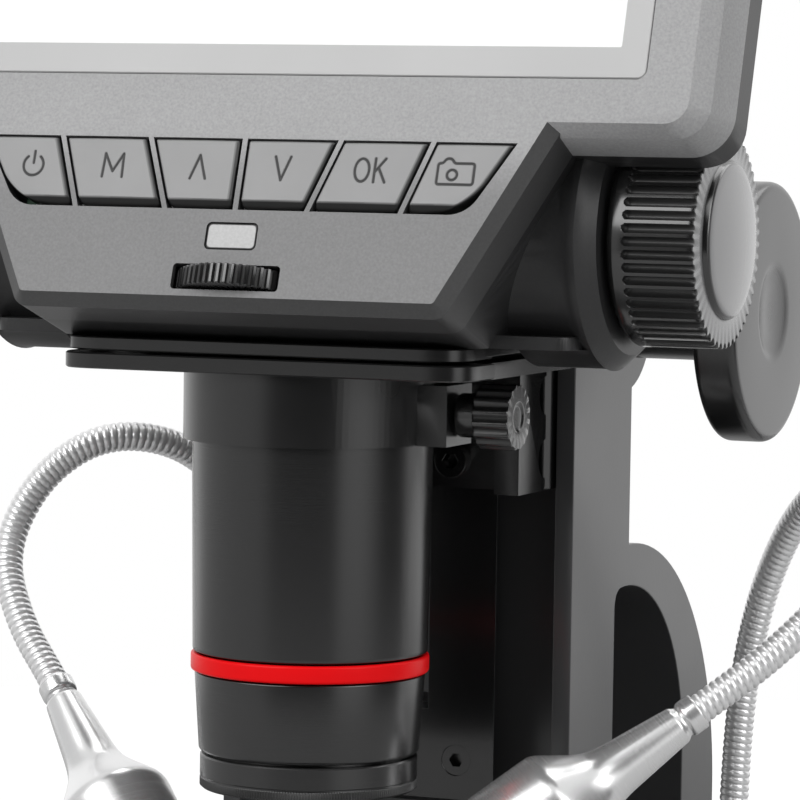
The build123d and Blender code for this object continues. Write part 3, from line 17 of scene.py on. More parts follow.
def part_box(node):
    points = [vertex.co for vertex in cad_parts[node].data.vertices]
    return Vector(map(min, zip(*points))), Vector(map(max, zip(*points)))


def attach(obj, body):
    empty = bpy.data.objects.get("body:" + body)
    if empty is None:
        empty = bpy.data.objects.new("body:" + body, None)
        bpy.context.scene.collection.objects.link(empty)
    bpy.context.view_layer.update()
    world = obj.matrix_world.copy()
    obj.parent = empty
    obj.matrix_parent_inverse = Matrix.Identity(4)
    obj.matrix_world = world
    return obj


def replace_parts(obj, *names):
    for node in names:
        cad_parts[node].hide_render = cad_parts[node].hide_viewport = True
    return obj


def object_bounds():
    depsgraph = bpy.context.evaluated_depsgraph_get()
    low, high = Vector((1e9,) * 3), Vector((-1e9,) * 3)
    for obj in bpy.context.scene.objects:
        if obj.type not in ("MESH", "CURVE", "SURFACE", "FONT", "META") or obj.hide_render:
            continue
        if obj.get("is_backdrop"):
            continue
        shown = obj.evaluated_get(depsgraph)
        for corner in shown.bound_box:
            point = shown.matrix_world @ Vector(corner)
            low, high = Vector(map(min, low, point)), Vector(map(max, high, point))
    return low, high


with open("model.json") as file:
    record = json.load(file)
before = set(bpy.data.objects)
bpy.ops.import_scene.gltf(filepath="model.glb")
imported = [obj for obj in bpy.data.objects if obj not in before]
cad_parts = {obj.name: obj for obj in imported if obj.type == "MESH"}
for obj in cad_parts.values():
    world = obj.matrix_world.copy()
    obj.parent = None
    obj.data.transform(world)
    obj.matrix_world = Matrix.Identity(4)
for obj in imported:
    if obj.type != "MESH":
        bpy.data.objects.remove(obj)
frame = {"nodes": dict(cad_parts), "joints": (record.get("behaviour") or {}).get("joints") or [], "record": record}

MM = 0.001
record = frame["record"]
nodes = frame["nodes"]
joints = {joint["name"]: joint for joint in frame["joints"]}
body_of = {node: body for body, group in record["behaviour"]["bodies"].items() for node in group}
slot_of = {part["node"]: part["material_slot"] for part in record["subparts"]}
cad_low, cad_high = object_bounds()
print("nodes", len(nodes), "box in mm", [round(v / MM) for v in (*cad_low, *cad_high)])

# %% [markdown]
# ## Camera
# A long lens far away keeps the verticals nearly parallel. It looks a little down and from the right,
# with a small roll. The camera's axes are written as one matrix, so nothing has to be tracked or aimed.

# %% Camera
CAMERA_PLACE = Vector((249.9, -576.3, 168.9)) * MM
CAMERA_AZIMUTH = math.radians(22.26)
CAMERA_PITCH = math.radians(3.91)
CAMERA_ROLL = math.radians(0.85)
LENS_LENGTH = 189.0
SENSOR_WIDTH = 36.0

sight = Vector((-math.sin(CAMERA_AZIMUTH) * math.cos(CAMERA_PITCH),
                math.cos(CAMERA_AZIMUTH) * math.cos(CAMERA_PITCH), -math.sin(CAMERA_PITCH)))
level = Vector((math.cos(CAMERA_AZIMUTH), math.sin(CAMERA_AZIMUTH), 0))
above = level.cross(sight)
right = math.cos(CAMERA_ROLL) * level + math.sin(CAMERA_ROLL) * above
upward = math.cos(CAMERA_ROLL) * above - math.sin(CAMERA_ROLL) * level

camera_data = bpy.data.cameras.new("camera")
camera_data.lens = LENS_LENGTH
camera_data.sensor_width = SENSOR_WIDTH
camera_data.clip_start = 0.02
camera = bpy.data.objects.new("camera", camera_data)
camera.matrix_world = Matrix.Translation(CAMERA_PLACE) @ Matrix((right, upward, -sight)).transposed().to_4x4()
bpy.context.scene.collection.objects.link(camera)
bpy.context.scene.camera = camera
bpy.context.scene.view_settings.view_transform = "Standard"
print("camera at", [round(v, 3) for v in camera.matrix_world.translation])

# %% [markdown]
# ## Shader arithmetic
# A material is a graph of nodes. Written as Python expressions it reads like a formula: `Wire` wraps
# one output and adds a Math node for each operator, and `Finish` owns one material and makes any node.

# %% Wires and finishes
class Wire:
    """One output in a material. Arithmetic on it adds Math nodes, with minus in both orders."""

    def __init__(self, finish, socket):
        self.finish = finish
        self.socket = socket

    def math(self, operation, *values):
        return self.finish.node("ShaderNodeMath", {"operation": operation}, dict(enumerate(values)))

    def __add__(self, other):
        return self.math("ADD", self, other)

    def __mul__(self, other):
        return self.math("MULTIPLY", self, other)

    def __sub__(self, other):
        return self.math("SUBTRACT", self, other)

    def __rsub__(self, other):
        return self.math("SUBTRACT", other, self)

    def __truediv__(self, other):
        return self.math("DIVIDE", self, other)

    def step(self, low, high):
        """0 below low, 1 above high, and a smooth S between."""
        return self.finish.node("ShaderNodeMapRange", {"interpolation_type": "SMOOTHSTEP"},
                                {"Value": self, "From Min": low, "From Max": high})


class Finish:
    """A procedural material, with its shader's fixed values given by socket name."""

    def __init__(self, name, **fixed):
        self.material = bpy.data.materials.new(name)
        self.material.use_nodes = True
        finishes[name] = self.material
        self.tree = self.material.node_tree
        self.shader = self.tree.nodes["Principled BSDF"]
        self.feed(**fixed)

    def node(self, kind, settings=None, inputs=None, output=0):
        """Any node: its type, its settings, the values or wires of its inputs, and the output wanted."""
        made = self.tree.nodes.new(kind)
        for name, value in (settings or {}).items():
            if name == "stops":
                first, *between, last = value
                for element, (place, shade) in zip(made.color_ramp.elements, (first, last)):
                    element.position, element.color = place, shade
                for place, shade in between:
                    made.color_ramp.elements.new(place).color = shade
            else:
                setattr(made, name, value)
        for name, value in (inputs or {}).items():
            self.join(value, made.inputs[name])
        return Wire(self, made.outputs[output])

    def join(self, value, socket):
        if isinstance(value, Wire):
            self.tree.links.new(value.socket, socket)
        else:
            socket.default_value = value

    def feed(self, **values):
        """Values or wires for the shader's sockets, with _ for a space in the socket's name."""
        for name, value in values.items():
            self.join(value, self.shader.inputs[name.replace("_", " ")])

    def place(self):
        return self.node("ShaderNodeTexCoord", output="Object")

    def noise(self, size, detail=2.0, stretch=(1, 1, 1)):
        """Noise from 0 to 1 whose lumps are so many millimetres wide, longer where stretch is larger."""
        scaled = self.node("ShaderNodeVectorMath", {"operation": "DIVIDE"},
                           {0: self.place(), 1: [size * MM * share for share in stretch]})
        return self.node("ShaderNodeTexNoise", None, {"Vector": scaled, "Scale": 1.0, "Detail": detail})

    def mark(self, name):
        return self.node("ShaderNodeAttribute", {"attribute_name": name}, output="Fac")

    def blend(self, first, second, amount):
        """A colour between two colours."""
        return self.node("ShaderNodeMix", {"data_type": "RGBA"}, {0: amount, 6: first, 7: second}, output=2)

    def relief(self, height, depth):
        """Bumps of a height from 0 to 1, so many millimetres deep."""
        bump = self.node("ShaderNodeBump", None, {"Height": height, "Distance": depth * MM, "Strength": 1.0})
        self.feed(Normal=bump)


def shade(value, tint=(1, 1, 1), share=1.0):
    """A colour of one brightness, times a tint and a share."""
    return (*[min(1.0, value * part * share) for part in tint], 1)


finishes = {}

# %% [markdown]
# ## Moulded, painted and turned finishes
# Most surfaces here differ in only a few numbers: how bright, how glossy, how coarse the grain, and how
# far colour and gloss drift over a few centimetres. Turned parts also carry fine rings from the lathe,
# read from the height that each turned mesh stores, so the rings follow every piece's own axis. A knob's
# turned face is painted paler than its polished side, as painted sheen: a mark on the mesh gives it a
# value of its own.
# The housing's plastic turns paler with height beside the keys, so the display's frame is paler than the key
# panel. That colour change stands in for light that falls unevenly on the two.
# Points in grooves, flutes and knurls take a darker colour, as painted shade.

# %% The common finish
DARKEST = 0.8
PALEST = 1.2
CLOUD_SIZE = 14.0
GLOSS_SIZE = 23.0
UPPER_START = 156.0
UPPER_END = 166.0
# Share of the colour kept in grooves: painted shade.
HOLLOW_SHADE_SHARE = 0.4
HOLLOW_ROUGH = 0.4


def surface(slot, value, roughness, tint=(1, 1, 1), grain=0.4, depth=0.004, drift=0.06, smudge=0.05,
            rings=0.0, speckle=0.06, face_value=None, upper_value=None, **fixed):
    """A finish with grain, slow drift of colour and gloss, and lathe rings. Grain and depth are in mm."""
    finish = Finish(slot, **fixed)
    cloud = finish.noise(CLOUD_SIZE, 3.0)
    speck = finish.noise(grain, 2.0)
    fleck = (cloud - 0.5) * (2 * drift) + (speck - 0.5) * speckle + 1.0
    gloss = finish.noise(GLOSS_SIZE, 2.0)
    height = speck
    if rings:
        turning = finish.node("ShaderNodeTexNoise", {"noise_dimensions": "1D"},
                              {"W": finish.mark("height") * 5.0, "Detail": 4.0})
        height = speck + turning * rings
        gloss = gloss + (turning - 0.5) * rings
    amount = (fleck - DARKEST) / (PALEST - DARKEST)

    def flecked(level):
        return finish.blend(shade(level, tint, DARKEST), shade(level, tint, PALEST), amount)

    colour = flecked(value)
    # A knob's turned face takes face_value, painted sheen that is paler than the polished side.
    if face_value:
        colour = finish.blend(colour, flecked(face_value), finish.mark("face"))
    if upper_value:
        upper = flecked(upper_value)
        rise = finish.node("ShaderNodeSeparateXYZ", None, {0: finish.place()}, output=2)
        colour = finish.blend(colour, upper, rise.step(UPPER_START * MM, UPPER_END * MM))
    # Points lowered into grooves, flutes and knurls are darkened, as painted shade where little light reaches.
    hollow = finish.mark("hollow")
    colour = finish.blend(colour, shade(value, tint, HOLLOW_SHADE_SHARE), hollow)
    finish.feed(Base_Color=colour, Roughness=(gloss - 0.5) * (2 * smudge) + roughness + hollow * HOLLOW_ROUGH)
    finish.relief(height, depth)


# On knobs, face_value is painted sheen on the turned face.
surface("black_metal", 0.0045, 0.25, (1, 1, 1.05), grain=0.12, depth=0.0015, rings=0.8, face_value=0.012,
        Specular_IOR_Level=1.0)
surface("satin_metal", 0.92, 0.32, (1, 1, 1.01), grain=0.10, depth=0.0006, drift=0.03, rings=0.4,
        Metallic=0.6)
surface("bright_metal", 0.90, 0.26, (1, 1, 1.01), grain=0.10, depth=0.0006, drift=0.03, rings=1.0,
        Metallic=0.8)
surface("steel", 0.52, 0.28, (1, 1, 1.02), grain=0.15, depth=0.001, rings=0.6, Metallic=1.0)
surface("brass", 0.60, 0.30, (1, 0.78, 0.42), grain=0.15, depth=0.001, rings=0.6, Metallic=1.0)
surface("grey_casting", 0.045, 0.30, (1, 1, 1.03), grain=0.9, depth=0.006, drift=0.04,
        Specular_IOR_Level=0.75)
surface("pale_plastic", 0.17, 0.42, (1, 1, 1.01), depth=0.016, drift=0.05,
        speckle=0.5, upper_value=0.31)
# A darker colour of the same plastic: painted shade for the housing's rim.
surface("rim_painted_shade", 0.055, 0.42, (1, 1, 1.01), depth=0.016, drift=0.05, speckle=0.4)
surface("dark_plastic", 0.022, 0.40, (1, 1, 1.03), depth=0.016, speckle=0.4)
surface("gloss_black", 0.007, 0.20, (1, 1, 1.02), grain=0.5, depth=0.001, drift=0.03, rings=0.5,
        face_value=0.17, Specular_IOR_Level=1.0, Coat_Weight=0.3, Coat_Roughness=0.15)
surface("red_metal", 0.84, 0.32, (1, 0.004, 0.007), grain=0.15, depth=0.0012, rings=0.8,
        Specular_IOR_Level=0.12)
surface("rubber", 0.03, 0.75, grain=0.5, depth=0.012)
# Infrared pane: the face value is its own pale colour. The dark value is painted shade on its sides and edge.
surface("ir_pane", 0.012, 0.40, speckle=0.3, face_value=0.47)
surface("white_plate", 0.60, 0.45, grain=0.3, depth=0.003, drift=0.02)
surface("board", 0.12, 0.40, (0.25, 1, 0.45), grain=0.6)
surface("battery_wrap", 0.35, 0.45, (1, 1.02, 1.12), grain=1.5, depth=0.01)
surface("silicone", 0.70, 0.55, (1, 1, 0.98))
surface("led", 0.85, 0.35, (1, 0.88, 0.45), grain=0.2)
print("finishes so far:", sorted(finishes))

# %% [markdown]
# ## Glass, the lit screen and the keys
# Clear glass is shown by its reflections, so it is a partly transparent shader with a sharp gloss rather
# than one that bends light, which keeps the screen behind it clean. The screen glows by itself. A key's
# legend is pressed into the plastic, and its strokes are painted near black as painted shade: the mesh
# stores how far each point lies from the legend's strokes. A second mark paints shade on the walls in the
# gap round the key, where no light comes in, and on the key's rounded edges, its low bevel and a band
# along its right edge.

# %% Glass and screen
for slot, clearness, value in (("glass", 0.30, 0.30), ("screen_glass", 0.06, 0.02)):
    glass = Finish(slot, Specular_IOR_Level=0.5, Base_Color=shade(value, (0.9, 1, 1)))
    dust = glass.noise(2.5, 4.0)
    glass.feed(Roughness=dust * 0.05 + 0.02, Alpha=dust * 0.02 + clearness)

screen = Finish("screen", Roughness=0.3, Emission_Strength=1.0)
glow = screen.noise(60.0, 1.0).step(0.2, 0.8)
screen.feed(Base_Color=screen.blend(shade(0.06), shade(0.08), glow),
            Emission_Color=screen.blend(shade(0.97), shade(1.0), glow))

# %% Printed border and key plastic
border = Finish("screen_border", Coat_Weight=0.3, Coat_Roughness=0.08)
print_grain = border.noise(0.3, 2.0)
border.feed(Base_Color=border.blend(shade(0.37), shade(0.43), border.noise(18.0, 2.0)),
            Roughness=print_grain * 0.08 + 0.30)
border.relief(print_grain, 0.001)

key_finish = Finish("key_plastic", Specular_IOR_Level=0.4)
key_grain = key_finish.noise(0.25, 2.0)
# The legend's sunk strokes are painted near black, as painted shade.
pressed = 1 - key_finish.mark("legend").step(-0.06, 0.10)
# Painted shade on the gap walls, the rounded edges, the low bevel and a band along the right edge.
key_edge_shade = key_finish.mark("wall")
key_top = key_finish.blend(shade(0.25), shade(0.29, (1, 1, 1.01)), key_finish.noise(6.0, 3.0))
key_legend_shaded = key_finish.blend(key_top, shade(0.02), pressed * 0.9)
key_finish.feed(Base_Color=key_finish.blend(key_legend_shaded, shade(0.012), key_edge_shade),
                Roughness=key_grain * 0.06 + 0.32 + pressed * 0.2)
key_finish.relief(key_grain, 0.002)
print("finishes:", len(finishes))

# %% [markdown]
# ## Mesh helpers
# Every new piece is a grid of points worked out at once with numpy. A grid that closes on itself in one
# direction is a tube, in both directions a ring. `eased` rounds the corners of an outline or a profile
# with small parabolas, because no real edge is sharp, and a rounded edge is what catches the light.

# %% Grids, rounding and pieces
def grid_faces(rows, columns, ring=False, caps=False):
    """Quads between neighbours of a grid whose columns close on themselves, and whose rows may too."""
    row, column = np.meshgrid(np.arange(rows if ring else rows - 1), np.arange(columns), indexing="ij")
    after, beside = (row + 1) % rows * columns, (column + 1) % columns
    row = row * columns
    faces = np.stack([row + column, row + beside, after + beside, after + column], -1).reshape(-1, 4).tolist()
    if caps:
        faces += [list(range(columns)), list(range((rows - 1) * columns, rows * columns))]
    return faces


def eased(corners, radius, steps=5, closed=False):
    """Round each corner: near it the line is the parabola whose middle control point is the corner."""
    corners = np.array(corners, float)
    middle = corners if closed else corners[1:-1]
    back = (np.roll(corners, 1, 0) if closed else corners[:-2]) - middle
    ahead = (np.roll(corners, -1, 0) if closed else corners[2:]) - middle
    t = np.linspace(0, 1, steps)[None, :, None]
    length_back, length_ahead = (np.linalg.norm(side, axis=1, keepdims=True) for side in (back, ahead))
    reach = np.broadcast_to(np.array(radius, float), len(middle))[:, None]
    start = middle + back / length_back * np.minimum(reach, 0.47 * length_back)
    end = middle + ahead / length_ahead * np.minimum(reach, 0.47 * length_ahead)
    arcs = (1 - t) ** 2 * start[:, None] + 2 * t * (1 - t) * middle[:, None] + t ** 2 * end[:, None]
    arcs = arcs.reshape(-1, corners.shape[1])
    return arcs if closed else np.vstack([corners[:1], arcs, corners[-1:]])


CREASE = 30.0


def shown(name, mesh, crease=CREASE):
    """An object for a mesh, smooth apart from edges sharper than the crease in degrees."""
    mesh.shade_smooth()
    mesh.set_sharp_from_angle(angle=math.radians(crease))
    piece = bpy.data.objects.new(name, mesh)
    bpy.context.scene.collection.objects.link(piece)
    return piece


def mesh_piece(name, points, faces, crease=CREASE, marks=None):
    """A mesh object from points in metres. Doubles merge, faces turn outwards, sharp edges stay sharp."""
    mesh = bpy.data.meshes.new(name)
    mesh.from_pydata(np.reshape(points, (-1, 3)).tolist(), [], faces)
    for mark, values in (marks or {}).items():
        stored = mesh.attributes.new(mark, "FLOAT", "POINT")
        stored.data.foreach_set("value", np.ravel(values).astype(np.float32))
    work = bmesh.new()
    work.from_mesh(mesh)
    bmesh.ops.remove_doubles(work, verts=work.verts, dist=1e-7)
    bmesh.ops.recalc_face_normals(work, faces=work.faces)
    work.to_mesh(mesh)
    work.free()
    print(f"{name}: {len(mesh.polygons)} faces")
    return shown(name, mesh, crease)


def dress(piece, node, finish=None, slot=None):
    """The piece rides with the node's body and takes the finish of the node's slot."""
    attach(piece, body_of[node])
    piece.data.materials.clear()
    piece.data.materials.append(finishes[finish or slot or slot_of[node]])
    return piece


def stand_for(piece, node, finish=None, slot=None):
    """The piece is shown in the place of a CAD node."""
    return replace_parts(dress(piece, node, finish, slot), node)


# %% [markdown]
# ## Turned pieces
# Barrel, rings, knobs and lamps come off a lathe, so their meshes do too: a profile of radius and height
# is carried round an axis. Knurls and ribs are a change of radius that depends on the angle.

# %% The lathe
def axes_about(axis):
    """Two directions square to an axis, and the axis itself, as rows."""
    along = np.array(axis, float) / np.linalg.norm(axis)
    aside = np.cross(along, (0, 0, 1) if abs(along[2]) < 0.9 else (1, 0, 0))
    aside /= np.linalg.norm(aside)
    return np.array([aside, np.cross(along, aside), along])


def turned(name, profile, origin, axis, segments=144, ripple=None, crease=CREASE, face_height=None,
           dark_band=(0, 0)):
    """A closed profile of (radius, height) in mm round an axis: (r cos a, r sin a, h) in the axis's frame.
    Points at or above the face's height are marked as the face, where a finish paints sheen, apart from a
    dark band, and lowered points are marked as lying in a groove, where a finish paints shade."""
    profile = np.array(profile, float)
    angle = 2 * np.pi * np.arange(segments) / segments
    radius = profile[:, :1] + np.zeros(segments)
    height = profile[:, 1:] + np.zeros(segments)
    lowered = np.zeros_like(radius)
    if ripple:
        lowered = ripple(angle[None], radius, height)
        radius = radius + lowered
    local = np.stack([radius * np.cos(angle), radius * np.sin(angle), height], -1)
    points = np.array(origin) + MM * local @ axes_about(axis)
    on_top = height >= (np.inf if face_height is None else face_height)
    on_top &= (height <= dark_band[0]) | (height >= dark_band[1])
    marks = {"height": height, "face": on_top.astype(float), "hollow": lowered / min(lowered.min(), -1e-6)}
    return mesh_piece(name, points, grid_faces(len(profile), segments, ring=True), crease, marks)


LENS_FOOT = np.zeros(3)
LENS_UP = (0, 0, 1)


def top_and_bottom(node):
    """A node's lowest and highest height in millimetres."""
    low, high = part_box(node)
    return low.z / MM, high.z / MM


# %% [markdown]
# ## Lens barrel, red ring and filter ring
# The barrel is black anodised aluminium with a red ring and a screwed filter ring whose lower edge is
# knurled for the fingers. Below the red ring the nose tapers, and a fine slit parts it from the filter ring.

# %% Barrel and rings
BORE_R = 15.0
BARREL_R = 18.1
BARREL_LOW_R = 17.7
NOSE_TOP_R = 17.35
NOSE_LOW_R = 16.6
RING_SEAT = 0.75

barrel_low, _ = top_and_bottom("lens_barrel")
red_low, red_high = top_and_bottom("red_ring")
filter_low, filter_high = top_and_bottom("filter_ring")
clamp_low, clamp_high = top_and_bottom("clamp_ring")

barrel_profile = eased([
    (BORE_R, barrel_low), (NOSE_LOW_R - 0.3, barrel_low), (NOSE_LOW_R, barrel_low + 0.4),
    (NOSE_TOP_R, red_low - 0.25), (NOSE_TOP_R - RING_SEAT, red_low - 0.05),
    (NOSE_TOP_R - RING_SEAT, red_high + 0.05),
    (BARREL_LOW_R - 0.1, red_high + 0.3), (BARREL_LOW_R, red_high + 0.6), (BARREL_R, clamp_low - 1.0),
    (BARREL_R, clamp_high), (BORE_R, clamp_high)], 0.25, 4, closed=True)
stand_for(turned("barrel_tube", barrel_profile, LENS_FOOT, LENS_UP, 192), "lens_barrel")

red_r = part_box("red_ring")[1].x / MM
red_bore = NOSE_TOP_R - 0.5
red_profile = eased([(red_bore, red_low), (red_r, red_low), (red_r, red_high), (red_bore, red_high)],
                    0.5, 6, closed=True)
stand_for(turned("red_band", red_profile, LENS_FOOT, LENS_UP, 192), "red_ring")

# %% Filter ring
FILTER_R = 16.4
FILTER_INNER_R = 13.0
FILTER_LIP_R = 12.0
KNURL_PITCH = 0.42
KNURL_DEPTH = 0.12
KNURL_HEIGHT = 1.5
filter_top = barrel_low - 0.4
knurl_top = filter_low + KNURL_HEIGHT
knurl_count = round(2 * math.pi * FILTER_R / KNURL_PITCH)


def knurl(angle, radius, height):
    """Fine teeth on the lowest part of the rim: a cosine in the angle, up to the knurl's height."""
    on_rim = (radius > FILTER_R - 0.05) & (height < knurl_top)
    return np.where(on_rim, KNURL_DEPTH * (np.cos(knurl_count * angle) - 1) / 2, 0)


filter_profile = [
    (FILTER_LIP_R, filter_low), (FILTER_R - 0.35, filter_low), (FILTER_R, filter_low + 0.3),
    (FILTER_R, knurl_top - 0.1), (FILTER_R - 0.12, knurl_top),
    (FILTER_R - 0.12, knurl_top + 0.25), (FILTER_R - 0.02, knurl_top + 0.4),
    (FILTER_R - 0.02, filter_top - 0.25), (FILTER_R - 0.25, filter_top), (BORE_R - 0.1, filter_top),
    (BORE_R - 0.1, filter_high), (FILTER_INNER_R, filter_high), (FILTER_INNER_R, filter_low + 1.5),
    (FILTER_LIP_R, filter_low + 1.5)]
filter_piece = turned("filter_thread_ring", filter_profile, LENS_FOOT, LENS_UP, 4 * knurl_count, knurl)
stand_for(filter_piece, "filter_ring")

# %% [markdown]
# ## Focus knobs
# Each end of the round body carries a gloss black knob with straight grooves that run out through its face.
# The grooves could be cut with booleans, but here the radius itself falls inside each groove, whose inner
# end is round, so the ridges stand out as fine teeth against the light. A low dome rises in the middle.

# %% Focus knobs
focus_axis = np.array(joints["focus_turn"]["pos_m"])
KNOB_BORE_R = 3.0
FOCUS_R = 15.7
FOCUS_GROOVES = 52
GROOVE_WIDTH = 1.35
GROOVE_DEPTH = 1.1
TOOTH_DEPTH = 0.65
GROOVE_START = 2.6
BOSS_R = 11.4
BOSS_HEIGHT = 0.9
DOME_HEIGHT = 1.1
focus_low, focus_high = (corner.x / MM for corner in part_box("focus_knob_right"))
focus_length = focus_high - focus_low


def grooves(angle, radius, height):
    """Round-bottomed grooves, open at the face: the depth is half an ellipse over the groove's width."""
    pitch = 2 * np.pi / FOCUS_GROOVES
    across = ((angle + pitch / 2) % pitch - pitch / 2) * FOCUS_R
    beyond = GROOVE_START + GROOVE_WIDTH / 2 - height
    share = np.hypot(across, np.maximum(beyond, 0)) / (GROOVE_WIDTH / 2)
    at_face = np.clip((height - focus_length + 1.0) / 1.0, 0, 1)
    depth = GROOVE_DEPTH + (TOOTH_DEPTH - GROOVE_DEPTH) * at_face
    return np.where(radius > FOCUS_R - 0.7, -depth * np.sqrt(np.clip(1 - share ** 2, 0, 1)), 0)


rim_rows = np.append(np.linspace(GROOVE_START - 0.2, GROOVE_START + 0.9, 10), focus_length / 2)
focus_profile = [(KNOB_BORE_R, 0.0), (FOCUS_R - 1.1, 0.0), (FOCUS_R - 0.75, 0.15), (FOCUS_R - 0.12, 0.9)]
focus_profile += [(FOCUS_R, height) for height in (1.2, *rim_rows)]
boss_top = focus_length + BOSS_HEIGHT
dome = np.linspace(BOSS_R - 0.6, 0, 9)
focus_profile += [
    (FOCUS_R, focus_length - 1.0), (FOCUS_R, focus_length - 0.35), (FOCUS_R - 0.08, focus_length - 0.15),
    (FOCUS_R - 0.28, focus_length),
    (BOSS_R + 0.4, focus_length), (BOSS_R + 0.1, focus_length + 0.1), (BOSS_R - 0.1, boss_top - 0.25),
    (BOSS_R - 0.25, boss_top - 0.06)]
focus_profile += [(radius, boss_top + DOME_HEIGHT * (1 - (radius / BOSS_R) ** 2)) for radius in dome]
focus_profile += [(0.0, 0.0)]
print("focus knob reaches", round(focus_high + BOSS_HEIGHT + DOME_HEIGHT, 2), "mm from the middle")
# The end face takes the finish's paler face value as painted sheen. The boss's wall in the dark band keeps the
# dark value.
for side, node in ((1, "focus_knob_right"), (-1, "focus_knob_left")):
    knob = turned(node + "_cap", focus_profile, focus_axis + np.array((side * focus_low * MM, 0, 0)),
                  (side, 0, 0), FOCUS_GROOVES * 16, grooves, face_height=focus_length - 0.02,
                  dark_band=(focus_length + 0.02, boss_top - 0.01))
    stand_for(knob, node)

# %% [markdown]
# ## Height knob and end cap
# The stand's knob is larger, plain and black, with a shallow round recess in the face and a hub that
# reaches in to the bush. A profile with generous rounding shows the long curved highlight of the rim.
# The other end of the shaft shows only a small cap, smaller than the knob that the CAD model has there.

# %% Height knobs
height_axis = np.array(joints["height_turn"]["pos_m"])
HEIGHT_R = 20.5
HEIGHT_THICK = 7.0
HUB_R = 8.0
RECESS_R = 7.6
RECESS_DEPTH = 0.5
RECESS_SLOPE = 1.6
height_low, height_high = (corner.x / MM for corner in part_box("height_knob_right"))
height_length = height_high - height_low
disc_back = height_length - HEIGHT_THICK
height_profile = eased([
    (KNOB_BORE_R, 0.0), (HUB_R, 0.0), (HUB_R, disc_back), (HEIGHT_R, disc_back), (HEIGHT_R, height_length),
    (RECESS_R, height_length), (RECESS_R - RECESS_SLOPE, height_length - RECESS_DEPTH)],
    [0.4, 1.2, 1.2, 1.6, 0.8], 8)
height_profile = np.vstack([height_profile, [(0.0, height_length - RECESS_DEPTH - 0.1), (0.0, 0.0)]])
CAP_R = 7.2
cap_profile = eased([(KNOB_BORE_R, 0.0), (CAP_R, 0.0), (CAP_R, height_length), (0.0, height_length)],
                    [0.4, 1.0], 6)
cap_profile = np.vstack([cap_profile, [(0.0, 0.0)]])
# The face and recess take the finish's face value as painted sheen.
for side, node, profile in ((1, "height_knob_right", height_profile), (-1, "height_knob_left", cap_profile)):
    knob = turned(node + "_disc", profile, height_axis + np.array((side * height_low * MM, 0, 0)),
                  (side, 0, 0), 160, face_height=height_length - RECESS_DEPTH - 0.2)
    stand_for(knob, node)

# %% [markdown]
# ## Clamp thumbscrew
# A small black screw with a straight-ribbed head squeezes the clamp ring. The ribs are a rounded wave in
# the radius on the head only.

# %% Clamp thumbscrew
screw_axis = np.array(joints["clamp_turn"]["pos_m"])
SCREW_SHANK_R = 1.5
SCREW_NECK_R = 3.3
SCREW_HEAD_R = 5.0
SCREW_HEAD_LENGTH = 5.6
SCREW_NECK_LENGTH = 3.4
SCREW_RIBS = 16
screw_low, screw_high = (corner.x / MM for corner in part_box("clamp_thumbscrew"))
head_start = screw_high - screw_low - SCREW_HEAD_LENGTH
head_top = head_start + SCREW_HEAD_LENGTH
neck_start = head_start - SCREW_NECK_LENGTH


def screw_ribs(angle, radius, height):
    """Round-bottomed flutes between the ribs of the head."""
    flute = np.abs(np.cos(SCREW_RIBS / 2 * angle)) ** 3
    return np.where((radius > SCREW_HEAD_R - 0.3) & (height > head_start), -0.45 * flute, 0)


screw_profile = eased([
    (0, 0), (SCREW_SHANK_R, 0), (SCREW_SHANK_R, neck_start), (SCREW_NECK_R, neck_start),
    (SCREW_NECK_R, head_start),
    (SCREW_HEAD_R - 0.06, head_start), (SCREW_HEAD_R - 0.06, head_top),
    (2.2, head_top), (1.8, head_top - 0.3), (0, head_top - 0.3)], 0.3, 4)
screw_foot = (screw_low * MM, screw_axis[1], screw_axis[2])
thumbscrew = turned("thumbscrew_head", screw_profile, screw_foot, (1, 0, 0), SCREW_RIBS * 12, screw_ribs)
stand_for(thumbscrew, "clamp_thumbscrew", "gloss_black", "gloss_black")

# %% [markdown]
# ## The slanted face
# Screen, keys and wheel lie on a face that leans back. Two joints give its axes: the keys press into it
# and the wheel turns about the line up it. `on_face` turns distances on the face into points.

# %% Places on the face
FACE_FOOT = np.array((0.0, -33.2, 142.4)) * MM
INTO_FACE = np.array(joints["key_ok_press"]["axis"])
UP_FACE = np.array(joints["dimmer_turn"]["axis"])
ACROSS = np.array((1.0, 0.0, 0.0))


def on_face(x, v, w):
    """Points x across, v up from the face's lower edge and w out of it, in millimetres."""
    x, v, w = (part[..., None] for part in np.broadcast_arrays(*(np.asarray(p, float) for p in (x, v, w))))
    return FACE_FOOT + MM * (x * ACROSS + v * UP_FACE - w * INTO_FACE)


def face_reach(node):
    """Lowest and highest x, v and w of a node on the face, in millimetres."""
    points = np.array([vertex.co for vertex in nodes[node].data.vertices]) - FACE_FOOT
    local = np.stack([points @ ACROSS, points @ UP_FACE, -points @ INTO_FACE], -1) / MM
    return local.min(0), local.max(0)


# %% [markdown]
# ## Screen window
# One sheet of glass covers the screen. A pale border is printed round its clear middle. The printed part
# and the clear part are two pieces that meet edge to edge, so the finish changes at a crisp line.

# %% Window
def rounded_box(half_x, half_v, radius):
    """Outline of a rectangle with rounded corners, twelve points to a corner."""
    corners = [(-half_x, -half_v), (half_x, -half_v), (half_x, half_v), (-half_x, half_v)]
    return eased(corners, radius, 12, closed=True)


